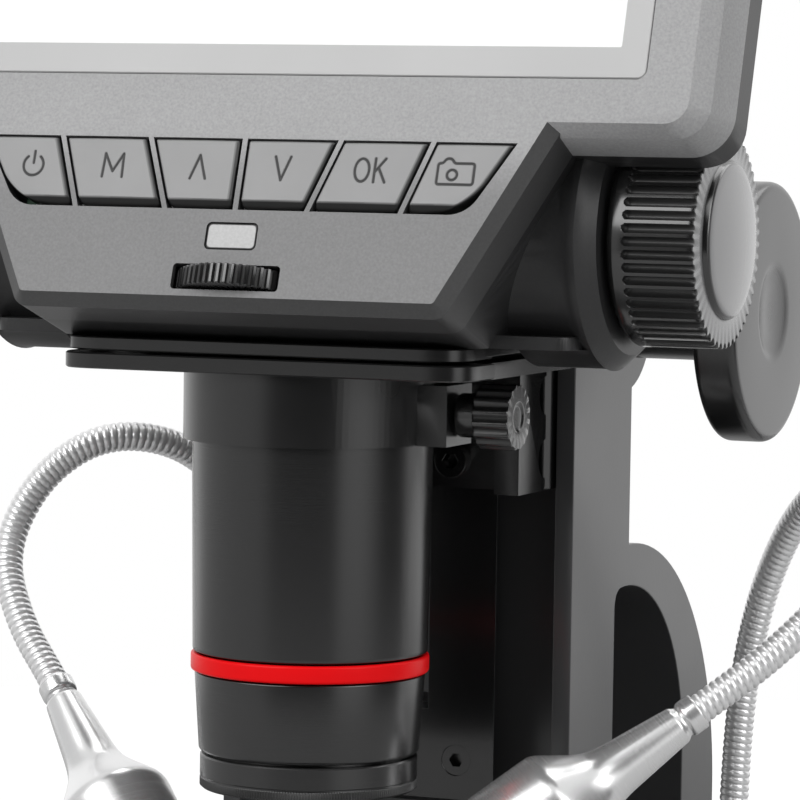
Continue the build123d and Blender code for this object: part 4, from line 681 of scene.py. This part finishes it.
ACTIVE_HALF = 55.35
ACTIVE_LOW_V = 38.0
ACTIVE_HIGH_V = 100.3
WINDOW_CORNER_R = 1.35
WINDOW_EDGE = 0.15
RIM_CORNER_R = 1.25
CLEAR_CORNER_R = 0.3
(window_x, window_low_v, window_back), (_, window_high_v, window_front) = face_reach("lcd_window")
window_mid_v = (window_low_v + window_high_v) / 2
window_half_v = (window_high_v - window_low_v) / 2
active_mid_v = (ACTIVE_LOW_V + ACTIVE_HIGH_V) / 2
sheet = rounded_box(-window_x, window_half_v, WINDOW_CORNER_R) + (0, window_mid_v)
clear = rounded_box(ACTIVE_HALF, (ACTIVE_HIGH_V - ACTIVE_LOW_V) / 2, CLEAR_CORNER_R) + (0, active_mid_v)
rim = rounded_box(-window_x - WINDOW_EDGE, window_half_v - WINDOW_EDGE, RIM_CORNER_R) + (0, window_mid_v)

border_loops = np.stack([
    on_face(*sheet.T, window_back), on_face(*sheet.T, window_front - WINDOW_EDGE),
    on_face(*rim.T, window_front), on_face(*clear.T, window_front), on_face(*clear.T, window_back)])
border_piece = mesh_piece("window_border", border_loops, grid_faces(5, len(sheet), ring=True))
stand_for(border_piece, "lcd_window", "screen_border")

pane_loops = np.stack([on_face(*clear.T, window_back), on_face(*clear.T, window_front)])
pane = mesh_piece("window_pane", pane_loops, grid_faces(2, len(clear), caps=True))
dress(pane, "lcd_window")

# %% [markdown]
# ## Keys
# Six keys share a trapezoid, parted by thin slanting ribs. Each key is a grid that runs up the key row by
# row: its cross-section climbs the left wall, crosses the slightly crowned top and goes down the right
# wall. The lower edge falls away in a broad bevel, and the legend sinks in by its distance from strokes.

# %% Key outlines
KEY_LOW_V = 13.0
KEY_HIGH_V = 23.7
KEY_OUTER_HIGH_X = 41.8
KEY_OUTER_LOW_X = 35.4
KEY_RIB = 0.8
KEY_GAP = 0.36
KEY_PROUD = 0.35
KEY_DEPTH = 3.4
KEY_CORNER_R = 5.0
RIB_HIGH_X = np.array((-29.2, -15.0, 0.0, 15.0, 29.2))
RIB_LOW_X = np.array((-25.5, -11.15, 0.0, 11.15, 25.5))
key_names = ("key_power", "key_menu", "key_up", "key_down", "key_ok", "key_camera")
inset = KEY_RIB / 2 + KEY_GAP
left_high = np.append(-KEY_OUTER_HIGH_X + KEY_GAP, RIB_HIGH_X + inset)
left_low = np.append(-KEY_OUTER_LOW_X + KEY_GAP, RIB_LOW_X + inset)
right_high = np.append(RIB_HIGH_X - inset, KEY_OUTER_HIGH_X - KEY_GAP)
right_low = np.append(RIB_LOW_X - inset, KEY_OUTER_LOW_X - KEY_GAP)


def key_side(low_x, high_x, v, corner, sign):
    """x of a key's slanting side at each v, drawn in by a quarter circle at the bottom where there is one."""
    share = (v - KEY_LOW_V) / (KEY_HIGH_V - KEY_LOW_V)
    rise = np.clip(v - KEY_LOW_V - KEY_GAP, 0, corner)
    return low_x + (high_x - low_x) * share - sign * (corner - np.sqrt(corner ** 2 - (corner - rise) ** 2))


# %% Key legends
def ellipse(x, v, radius_x, radius_v, start=0, end=360, count=24):
    """Points along part of an ellipse, angles in degrees from the top."""
    angle = np.radians(np.linspace(start, end, count))
    return np.stack([x + radius_x * np.sin(angle), v + radius_v * np.cos(angle)], -1)


camera_body = eased([(-2.75, -1.85), (2.75, -1.85), (2.75, 1.25), (-0.3, 1.25), (-0.75, 1.95), (-1.6, 1.95),
                     (-2.05, 1.25), (-2.75, 1.25)], 0.4, 5, closed=True)
legends = {
    "key_power": [ellipse(0, -0.2, 1.6, 1.6, 38, 322), [(0, 1.9), (0, 0.1)]],
    "key_menu": [[(-1.6, -1.75), (-1.45, 1.75), (0, -0.9), (1.45, 1.75), (1.6, -1.75)]],
    "key_up": [[(-1.2, -1.75), (0, 1.75), (1.2, -1.75)]],
    "key_down": [[(-1.2, 1.75), (0, -1.75), (1.2, 1.75)]],
    "key_ok": [ellipse(-1.3, 0, 1.1, 1.7), [(0.65, -1.75), (0.65, 1.75)], [(2.2, 1.75), (0.65, -0.3)],
               [(1.2, 0.43), (2.35, -1.75)]],
    "key_camera": [np.vstack([camera_body, camera_body[:1]]), ellipse(-0.5, -0.45, 0.75, 0.75)],
}
STROKE_HALF = 0.17
LEGEND_DEPTH = 0.16
LEGEND_V = 19.2


def stroke_distance(x, v, strokes):
    """Distance of each point from the nearest of all the strokes' straight parts."""
    starts = np.vstack([np.array(stroke, float)[:-1] for stroke in strokes])
    runs = np.vstack([np.diff(np.array(stroke, float), axis=0) for stroke in strokes])
    away = np.stack([x, v], -1)[..., None, :] - starts
    along = np.clip((away * runs).sum(-1) / (runs ** 2).sum(-1), 0, 1)
    return np.linalg.norm(away - along[..., None] * runs, axis=-1).min(-1)


# %% Make the keys
KEY_ROWS = 96
KEY_COLUMNS = 130
LOW_BEVEL = 1.15
LOW_BEVEL_DEPTH = 0.9
EDGE_BEVEL = 0.35
LOW_BEVEL_SHADE = 6.0
EDGE_DROP = 0.25
LEGEND_SLOPE = 0.14
SMALL_CORNER_R = 0.4
FAR = 2.0
RIGHT_SHADE = 0.65
CROWN = 0.12
key_low = KEY_LOW_V + KEY_GAP
key_high = KEY_HIGH_V - KEY_GAP
rows_v = np.concatenate([
    [key_low], key_low + np.array((0.25, 0.5, 0.75, 1.0)) * LOW_BEVEL,
    np.linspace(key_low + LOW_BEVEL + 0.08, key_high - EDGE_BEVEL, KEY_ROWS),
    [key_high - EDGE_BEVEL / 2, key_high]])[:, None]
share_x = np.linspace(0, 1, KEY_COLUMNS)[None]
for index, node in enumerate(key_names):
    corner = KEY_CORNER_R - KEY_GAP
    left = key_side(left_low[index], left_high[index], rows_v, corner if index == 0 else SMALL_CORNER_R, -1)
    right = key_side(right_low[index], right_high[index], rows_v, corner if index == 5 else SMALL_CORNER_R, 1)
    x = left + (right - left) * share_x
    edge = np.minimum(x - left, right - x)
    rounding = np.clip(1 - edge / EDGE_BEVEL, 0, 1)
    top_edge = np.clip(1 - (key_high - rows_v) / EDGE_BEVEL, 0, 1)
    low_edge = np.clip(1 - (rows_v - KEY_LOW_V - KEY_GAP) / LOW_BEVEL, 0, 1)
    middle = (left_low + left_high + right_low + right_high)[index] / 4
    distance = stroke_distance(x - middle, rows_v + 0 * x - LEGEND_V, legends[node]) - STROKE_HALF
    sink = 1 - np.clip(distance / LEGEND_SLOPE + 0.5, 0, 1)
    crown = CROWN * 4 * share_x * (1 - share_x)
    w = (KEY_PROUD - CROWN + crown - EDGE_DROP * rounding ** 2 - EDGE_DROP * top_edge ** 2
         - LOW_BEVEL_DEPTH * low_edge - LEGEND_DEPTH * sink * sink * (3 - 2 * sink))
    floor = np.full_like(left, KEY_PROUD - KEY_DEPTH)
    loop_v = rows_v + np.zeros((1, KEY_COLUMNS + 2))
    loop = [np.hstack([left, x, right]), loop_v, np.hstack([floor, w, floor])]
    far = np.full_like(left, FAR)
    # Painted shade: a band along the right edge, the low bevel, the rounded edges and the gap walls are darkened.
    right_edge = np.clip(1 - (right - x) / RIGHT_SHADE, 0, 1) ** 0.5
    lower = np.clip(LOW_BEVEL_SHADE * low_edge, 0, 1)
    wall = np.maximum(np.maximum(np.maximum(rounding, top_edge) ** 2, right_edge), lower)
    marks = {"legend": np.hstack([far, distance, far]), "wall": np.hstack([far / 2, wall, far / 2])}
    key_faces = grid_faces(len(rows_v), KEY_COLUMNS + 2, caps=True)
    key = mesh_piece(node + "_cap", on_face(*loop), key_faces, 38, marks)
    stand_for(key, node)

# %% [markdown]
# ## Infrared window and dimmer wheel
# Under the keys sit a small pale window and a ribbed wheel that dims the lamps. The pane's sides and
# rounded edge are painted near black, as painted shade in the gap round it. The wheel's ribs again come
# from its radius.

# %% Infrared window
(ir_x, ir_low_v, ir_back), (_, ir_high_v, ir_front) = face_reach("ir_window")
ir_mid_v = (ir_low_v + ir_high_v) / 2
ir_half_v = (ir_high_v - ir_low_v) / 2
ir_levels = ((0.05, ir_back), (0.05, ir_front - 0.35), (0.12, ir_front - 0.22), (0.30, ir_front - 0.12),
             (0.42, ir_front - 0.12))
ir_loops = np.stack([on_face(*(rounded_box(-ir_x - inset_by, ir_half_v - inset_by, 0.7) + (0, ir_mid_v)).T, w)
                     for inset_by, w in ir_levels])
# Only the top loop is the face with the pane's pale colour. The sides and edge below take painted shade.
ir_top = np.broadcast_to(np.array((0.0, 0, 0, 0, 1))[:, None], ir_loops.shape[:2])
ir_faces = grid_faces(*ir_loops.shape[:2], caps=True)
ir_piece = mesh_piece("infrared_pane", ir_loops, ir_faces, marks={"face": ir_top})
stand_for(ir_piece, "ir_window", "ir_pane", "white_plate")

# %% Dimmer wheel
wheel_centre = np.array(joints["dimmer_turn"]["pos_m"])
WHEEL_R = 10.2
WHEEL_THICK = 3.0
WHEEL_RIBS = 60


def wheel_ribs(angle, radius, height):
    """Narrow square-bottomed notches between the ribs."""
    wave = np.clip(3 * np.cos(WHEEL_RIBS * angle), -1, 1)
    return np.where(radius > WHEEL_R - 0.4, 0.25 * (wave - 1), 0)


wheel_profile = eased([(1.6, -WHEEL_THICK / 2), (WHEEL_R, -WHEEL_THICK / 2), (WHEEL_R, WHEEL_THICK / 2),
                       (1.6, WHEEL_THICK / 2)], 0.25, 4, closed=True)
wheel = turned("dimmer_disc", wheel_profile, wheel_centre, UP_FACE, WHEEL_RIBS * 12, wheel_ribs)
stand_for(wheel, "dimmer_wheel", "gloss_black")

# %% [markdown]
# ## Goosenecks
# A gooseneck is two wires wound into a hose that stays as it is bent. Its line is a smooth spline whose
# control points are the bends below, and its surface swells once per turn of wire, along a helix: the phase
# grows with the length along the arm and with the angle round it.

# %% Arms
ARM_R = 2.4
WIRE_PITCH = 1.15
WIRE_DEPTH = 0.34
AROUND = 26
SAMPLES = 8
SOCKET_X = 40.0
SOCKET_Y = 84.0
arm_bends = {
    "left": (-1, [(0, 0, 16), (0, 0, 48), (0, -4, 76), (0.5, -16, 99), (2.5, -32.5, 112.9),
                  (13.5, -42.5, 116.4), (24, -47.5, 109.5), (29, -52, 96.6), (23, -57, 85.4),
                  (15, -61, 77.5)], (0.62, -0.40, -0.68)),
    "right": (1, [(0, 0, 16), (0, 0, 50), (2, 0, 82), (10, -4, 103), (23, -15, 114), (33, -31, 112),
                  (33, -44, 100), (24, -52, 88.5), (14, -58, 80)], (-0.70, -0.42, -0.58)),
}
LAMP_OFFSET = 1.2
LAMP_SOCKET = 2.3


def spline_points(route):
    """Points along the quadratic NURBS line whose control points are the route's."""
    curve = bpy.data.curves.new("route", "CURVE")
    curve.dimensions = "3D"
    spline = curve.splines.new("NURBS")
    spline.points.add(len(route) - 1)
    spline.points.foreach_set("co", np.hstack([route, np.ones((len(route), 1))]).ravel())
    spline.order_u = 3
    spline.use_endpoint_u = True
    spline.resolution_u = 32
    holder = bpy.data.objects.new("route", curve)
    line = bpy.data.meshes.new_from_object(holder)
    points = np.array([vertex.co for vertex in line.vertices])
    bpy.data.objects.remove(holder)
    bpy.data.meshes.remove(line)
    return points


def wound_arm(name, route):
    """A tube whose radius swells with every turn of the wire, as half a circle does."""
    line = spline_points(route)
    length = np.append(0, np.cumsum(np.linalg.norm(np.diff(line, axis=0), axis=1))) / MM
    stations = np.linspace(0, length[-1], int(length[-1] / WIRE_PITCH * SAMPLES))
    centre = np.stack([np.interp(stations, length, line[:, axis]) for axis in range(3)], -1)
    ahead = np.gradient(centre, axis=0)
    ahead /= np.linalg.norm(ahead, axis=1, keepdims=True)
    aside = np.cross(ahead, (1.0, 0.0, 0.25))
    aside /= np.linalg.norm(aside, axis=1, keepdims=True)
    other = np.cross(ahead, aside)
    angle = 2 * np.pi * np.arange(AROUND) / AROUND
    phase = (stations[:, None] / WIRE_PITCH + angle / (2 * np.pi)) % 1 * 2 - 1
    radius = ARM_R - WIRE_DEPTH * (1 - np.sqrt(np.maximum(1 - phase ** 2, 0)))
    points = centre[:, None] + MM * radius[..., None] * (
        np.cos(angle)[:, None] * aside[:, None] + np.sin(angle)[:, None] * other[:, None])
    return mesh_piece(name, points, grid_faces(len(stations), AROUND, caps=True), 60,
                      {"height": stations[:, None] + 0 * radius})


lamp_tails = {}
for side, (sign, bends, aim) in arm_bends.items():
    route = np.array([(sign * (SOCKET_X + out), SOCKET_Y + behind, z) for out, behind, z in bends]) * MM
    aim = np.array(aim) / np.linalg.norm(aim)
    lamp_tails[side] = (route[-1] + aim * LAMP_OFFSET * MM, aim)
    route = np.vstack([route, lamp_tails[side][0] + aim * LAMP_SOCKET * MM])
    stand_for(wound_arm(f"wound_arm_{side}", route), f"gooseneck_{side}", "satin_metal", "bright_metal")

# %% [markdown]
# ## Lamp heads
# Each lamp is a bead, a slim cone and a flare that opens into a short tube, turned and chromed, with the
# light sunk behind a lens. The lathe's rings show as fine streaks round the chrome.

# %% Lamp heads, lenses and lights
BEAD_R = 2.9
BEAD_LENGTH = 3.0
CONE_LENGTH = 14.0
CONE_R = 4.4
FLARE_LENGTH = 7.7
LAMP_R = 9.35
LAMP_LENGTH = 14.0
LAMP_WALL = 1.2
CAVITY_DEPTH = 13.0
cone_end = BEAD_LENGTH + CONE_LENGTH
flare_end = cone_end + FLARE_LENGTH
lamp_front = flare_end + LAMP_LENGTH
cavity_r = LAMP_R - LAMP_WALL
cavity_floor = lamp_front - CAVITY_DEPTH
head_profile = eased([
    (0, LAMP_SOCKET + 0.2), (ARM_R + 0.1, LAMP_SOCKET + 0.2), (ARM_R + 0.1, 0), (BEAD_R, 0),
    (BEAD_R, BEAD_LENGTH - 0.6),
    (BEAD_R - 0.5, BEAD_LENGTH - 0.2), (BEAD_R - 0.3, BEAD_LENGTH + 0.3), (BEAD_R + 0.1, BEAD_LENGTH + 0.8),
    (CONE_R, cone_end), (CONE_R + 1.2, cone_end + 2.6), (LAMP_R - 1.0, flare_end - 1.2),
    (LAMP_R, flare_end + 0.4),
    (LAMP_R, lamp_front), (cavity_r, lamp_front), (cavity_r, cavity_floor), (0, cavity_floor)],
    [0.2, 0.2, 0.5, 0.5, 0.2, 0.2, 0.3, 3.0, 2.0, 2.0, 1.2, 0.35, 0.35, 0.2], 6)
lens_back = lamp_front - 2.6
lens_profile = [(0, lens_back), (cavity_r, lens_back), (cavity_r, lamp_front - 1.3),
                (cavity_r - 0.5, lamp_front - 1.1), (cavity_r * 0.7, lamp_front - 1.03),
                (cavity_r * 0.35, lamp_front - 1.0), (0, lamp_front - 1.0)]
light_top = cavity_floor + 1.0
light_profile = eased([(0, cavity_floor), (cavity_r, cavity_floor), (cavity_r, light_top), (2.5, light_top),
                       (2.3, light_top + 1.0), (1.2, light_top + 1.35), (0, light_top + 1.4)], 0.2, 4)
for side, (tail, aim) in lamp_tails.items():
    stand_for(turned(f"lamp_shade_{side}", head_profile, tail, aim, 128), f"lamp_head_{side}")
    stand_for(turned(f"lamp_front_{side}", lens_profile, tail, aim, 96), f"lamp_lens_{side}")
    stand_for(turned(f"lamp_light_{side}", light_profile, tail, aim, 96), f"lamp_led_{side}")

# %% [markdown]
# ## Cast, moulded and machined parts from the CAD
# Housings, column, base and brackets already have their shape. A copy of each gets its flat facets
# dissolved, and a bevel rounds its edges as paint or a mould would, so that every edge shows a thin
# highlight. Curved faces stay smooth because only edges over thirty degrees count as edges.

# %% Softened copies
BLACKENED = ("dovetail_rail", "rail_screws", "flange_screws", "bracket_screws")
MERGE_DISTANCE = 2e-6
FACET_ANGLE = 0.6


def softened(node, width, segments=2):
    """A copy of a CAD node with its facets merged and its edges rounded by so many millimetres."""
    work = bmesh.new()
    work.from_mesh(nodes[node].data)
    bmesh.ops.remove_doubles(work, verts=work.verts, dist=MERGE_DISTANCE)
    bmesh.ops.dissolve_limit(work, angle_limit=math.radians(FACET_ANGLE), verts=work.verts, edges=work.edges)
    mesh = bpy.data.meshes.new(node + "_eased")
    work.to_mesh(mesh)
    work.free()
    piece = shown(mesh.name, mesh)
    bevel = piece.modifiers.new("edges", "BEVEL")
    bevel.width = width * MM
    bevel.segments = segments
    bevel.limit_method = "ANGLE"
    bevel.angle_limit = math.radians(CREASE)
    bevel.harden_normals = True
    blackened = "black_metal" if node in BLACKENED else None
    return stand_for(piece, node, blackened, blackened)


edge_widths = {
    "front_housing": 0.35, "rear_housing": 0.4, "column": 0.4, "base_plate": 0.5, "base_pad": 0.4,
    "bracket": 0.3, "carriage_block": 0.3, "dovetail_rail": 0.25, "barrel_flange": 0.2,
    "clamp_ring": 0.25, "stage_plate": 0.15,
    "lamp_sockets": 0.25, "pinion_bushes": 0.2, "carriage_rack": 0.15, "bracket_screws": 0.12,
}
for node, width in edge_widths.items():
    softened(node, width)

# %% [markdown]
# ## Rim of the key panel
# Faces of the front housing that lean away from the key panel, up to about the keys' upper edges, take a
# darker colour of the same plastic, as painted shade, so that the flat panel stands out.

# %% Painted shade on the rim
RIM_TOP = 163.0
RIM_TURN = 0.97
housing = bpy.data.objects["front_housing_eased"]
housing.data.materials.append(finishes["rim_painted_shade"])
for polygon in housing.data.polygons:
    turned_away = -polygon.normal.dot(Vector(INTO_FACE)) < RIM_TURN
    polygon.material_index = int(turned_away and polygon.center.z < RIM_TOP * MM)

# %% [markdown]
# ## Front lips of bracket plate and barrel flange
# The plate on the bracket and the flange above it reach a few millimetres in front of the lens. Both are
# milled from sheet with round corners. Each lip is a grid that runs from left to right: its section is a
# rectangle between the outer edge and an inner edge, which on the plate follows the barrel's hole.

# %% Lips
LIP_FRONT_Y = -21.5
LIP_CORNER_R = 6.0
LIP_BACK_Y = -9.0
LIP_HIDE = 0.02
LIP_EDGE = 0.2
LIP_STEPS = 97
HOLE_R = 18.5
HOLE_REST = 30
STRAIGHT_HALF = 16
PLATE_THICK = 2.4
FLANGE_THICK = 2.0


def evenly(line, count):
    """So many points at even distances along a line."""
    length = np.append(0, np.cumsum(np.linalg.norm(np.diff(line, axis=0), axis=1)))
    places = np.linspace(0, length[-1], count)
    return np.stack([np.interp(places, length, line[:, axis]) for axis in range(2)], -1)


def lip(name, node, half, low, high, inner):
    """A slab in mm from the inner edge to the front, its outer edges rounded a little above and below."""
    levels = ((LIP_EDGE, low), (0, low + LIP_EDGE), (0, high - LIP_EDGE), (LIP_EDGE, high))
    rows = []
    for inset_by, height in levels:
        x, y = half - inset_by, LIP_FRONT_Y + inset_by
        corners = [(-x, LIP_BACK_Y), (-x, y), (x, y), (x, LIP_BACK_Y)]
        outer = evenly(eased(corners, LIP_CORNER_R, 16), LIP_STEPS)
        rows.append(np.hstack([outer, np.full((LIP_STEPS, 1), height)]))
    rows += [np.hstack([inner, np.full((LIP_STEPS, 1), height)]) for height in (high, low)]
    piece = mesh_piece(name, MM * np.stack(rows, 1), grid_faces(LIP_STEPS, len(rows), caps=True))
    return dress(piece, node)


flange_low, flange_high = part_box("barrel_flange")
plate_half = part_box("bracket")[1].x / MM
flange_plate_top = flange_low.z / MM + FLANGE_THICK
hole = np.radians(np.linspace(180 + HOLE_REST, 360 - HOLE_REST, LIP_STEPS))
hole_line = HOLE_R * np.stack([np.cos(hole), np.sin(hole)], -1)
straight_x = np.linspace(-STRAIGHT_HALF, STRAIGHT_HALF, LIP_STEPS)
straight = np.stack([straight_x, np.full(LIP_STEPS, LIP_BACK_Y)], -1)
lip("plate_lip", "bracket", plate_half - LIP_HIDE, clamp_high + LIP_HIDE,
    clamp_high + PLATE_THICK - LIP_HIDE, hole_line)
lip("flange_lip", "barrel_flange", flange_high.x / MM - LIP_HIDE, flange_low.z / MM + LIP_HIDE,
    flange_plate_top - LIP_HIDE, straight)

# %% [markdown]
# ## Everything else keeps its CAD mesh
# Screws, boards, battery, shafts and the parts inside the barrel are right as they are. They only take
# the finish of their slot, or black oxide where small steel parts sit among black ones.

# %% Finishes for the CAD nodes
for node, body in nodes.items():
    body.data.materials.clear()
    body.data.materials.append(finishes["black_metal" if node in BLACKENED else slot_of[node]])
print("CAD nodes with a finish:", len(nodes))

# %% [markdown]
# ## Floor
# A pale floor carries the stand. To the camera it is nearly white by its own glow, mixed with a plain
# diffuse surface that keeps the shadow. A disc that ends before the horizon lets gloss see the studio.

# %% Floor
FLOOR_R = 0.6
FLOOR_SIDES = 96
FLOOR_DROP = 0.0002
FLOOR_GLOW = 0.62
FLOOR_GLOW_LEVEL = 1.42
ring = 2 * np.pi * np.arange(FLOOR_SIDES) / FLOOR_SIDES
floor_points = np.stack([FLOOR_R * np.cos(ring), FLOOR_R * np.sin(ring), 0 * ring - FLOOR_DROP], -1)
floor = mesh_piece("floor", floor_points, [list(range(FLOOR_SIDES))])
floor_finish = Finish("floor", Roughness=0.9, Specular_IOR_Level=0.0)
floor_grain = floor_finish.noise(3.0, 3.0)
floor_finish.feed(Base_Color=floor_finish.blend(shade(0.42), shade(0.44), floor_grain))
rays = floor_finish.node("ShaderNodeLightPath", output="Is Camera Ray")
glow_shader = floor_finish.node("ShaderNodeEmission", None,
                                {"Color": shade(1.0), "Strength": FLOOR_GLOW_LEVEL})
lit_floor = Wire(floor_finish, floor_finish.shader.outputs[0])
mixed = floor_finish.node("ShaderNodeMixShader", None, {0: rays * FLOOR_GLOW, 1: lit_floor, 2: glow_shader})
floor_finish.tree.links.new(mixed.socket, floor_finish.tree.nodes["Material Output"].inputs["Surface"])
floor.data.materials.append(floor_finish.material)
floor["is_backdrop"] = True

# %% [markdown]
# ## Studio light
# A large soft light stands high at the front left, and four more stand round the object. The room is white
# behind the object and darker towards the camera, as in a studio with one white wall. Glossy surfaces see
# that room by compass direction, and other light from the world is an even fill.

# %% World
world = bpy.data.worlds.new("studio")
bpy.context.scene.world = world
world.use_nodes = True


class Room(Finish):
    """The world's nodes, made with the same methods."""

    def __init__(self, made_for):
        self.tree = made_for.node_tree
        self.shader = self.tree.nodes["Background"]


FILL = 0.55
CEILING = 0.75
CEILING_START = 0.55
CEILING_END = 0.85
room = Room(world)
outlook = room.node("ShaderNodeTexCoord", output="Generated")
east = room.node("ShaderNodeSeparateXYZ", None, {0: outlook})
north = Wire(room, east.socket.node.outputs[1])
bearing = room.node("ShaderNodeMath", {"operation": "ARCTAN2"}, {0: east, 1: 0 - north}) / (2 * math.pi) + 0.5
compass = [(-180, 1.0), (-118, 1.0), (-98, 0.62), (-26, 0.42), (-12, 0.03), (44, 0.03), (53, 0.80),
           (72, 0.80), (84, 0.45), (96, 0.04), (118, 0.04), (132, 1.0), (180, 1.0)]
stops = [((angle + 180) / 360, shade(value)) for angle, value in compass]
mirrored = room.node("ShaderNodeValToRGB", {"stops": stops}, {0: bearing})
overhead = Wire(room, east.socket.node.outputs[2]).step(CEILING_START, CEILING_END)
mirrored = room.blend(mirrored, shade(CEILING), overhead)
lights = {name: room.node("ShaderNodeLightPath", output=name) for name in ("Is Camera Ray", "Is Glossy Ray")}
lit = room.blend(shade(FILL), mirrored, lights["Is Glossy Ray"])
seen = room.blend(lit, shade(1.0), lights["Is Camera Ray"])
room.feed(Color=seen, Strength=1.0)

# %% Lamps
LIGHT_AIM_Z = 0.15


def soft_light(name, azimuth, elevation, distance, width, height, power):
    """A rectangular light aimed at the head from a compass direction and an elevation in degrees."""
    azimuth, elevation = math.radians(azimuth), math.radians(elevation)
    outward = Vector((math.sin(azimuth) * math.cos(elevation), -math.cos(azimuth) * math.cos(elevation),
                      math.sin(elevation)))
    data = bpy.data.lights.new(name, "AREA")
    data.shape = "RECTANGLE"
    data.size, data.size_y, data.energy = width, height, power
    light = bpy.data.objects.new(name, data)
    place = Matrix.Translation(Vector((0, 0, LIGHT_AIM_Z)) + outward * distance)
    light.matrix_world = place @ outward.to_track_quat("Z", "Y").to_matrix().to_4x4()
    bpy.context.scene.collection.objects.link(light)


soft_light("key_light", -26, 34, 1.3, 1.0, 1.0, 10.0)
soft_light("side_light", 74, 25, 1.6, 0.7, 1.0, 5.4)
soft_light("top_light", 180, 65, 1.6, 1.0, 1.0, 6.0)
soft_light("right_front_light", 50, 42, 1.5, 0.6, 0.6, 1.6)
soft_light("rim_light", 148, 38, 1.5, 0.7, 0.7, 2.5)

# %% [markdown]
# ## Sizes and finish
# The visual model's box is measured, and how far it grows past the CAD model's box is printed. The
# visual model must stay inside the CAD model's box.

# %% Print the growth past the CAD box
look_low, look_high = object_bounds()
boxes = zip((*look_low, *look_high), (*cad_low, *cad_high))
print("grown by, in mm:", [round((looks - cad) / MM, 2) for looks, cad in boxes])
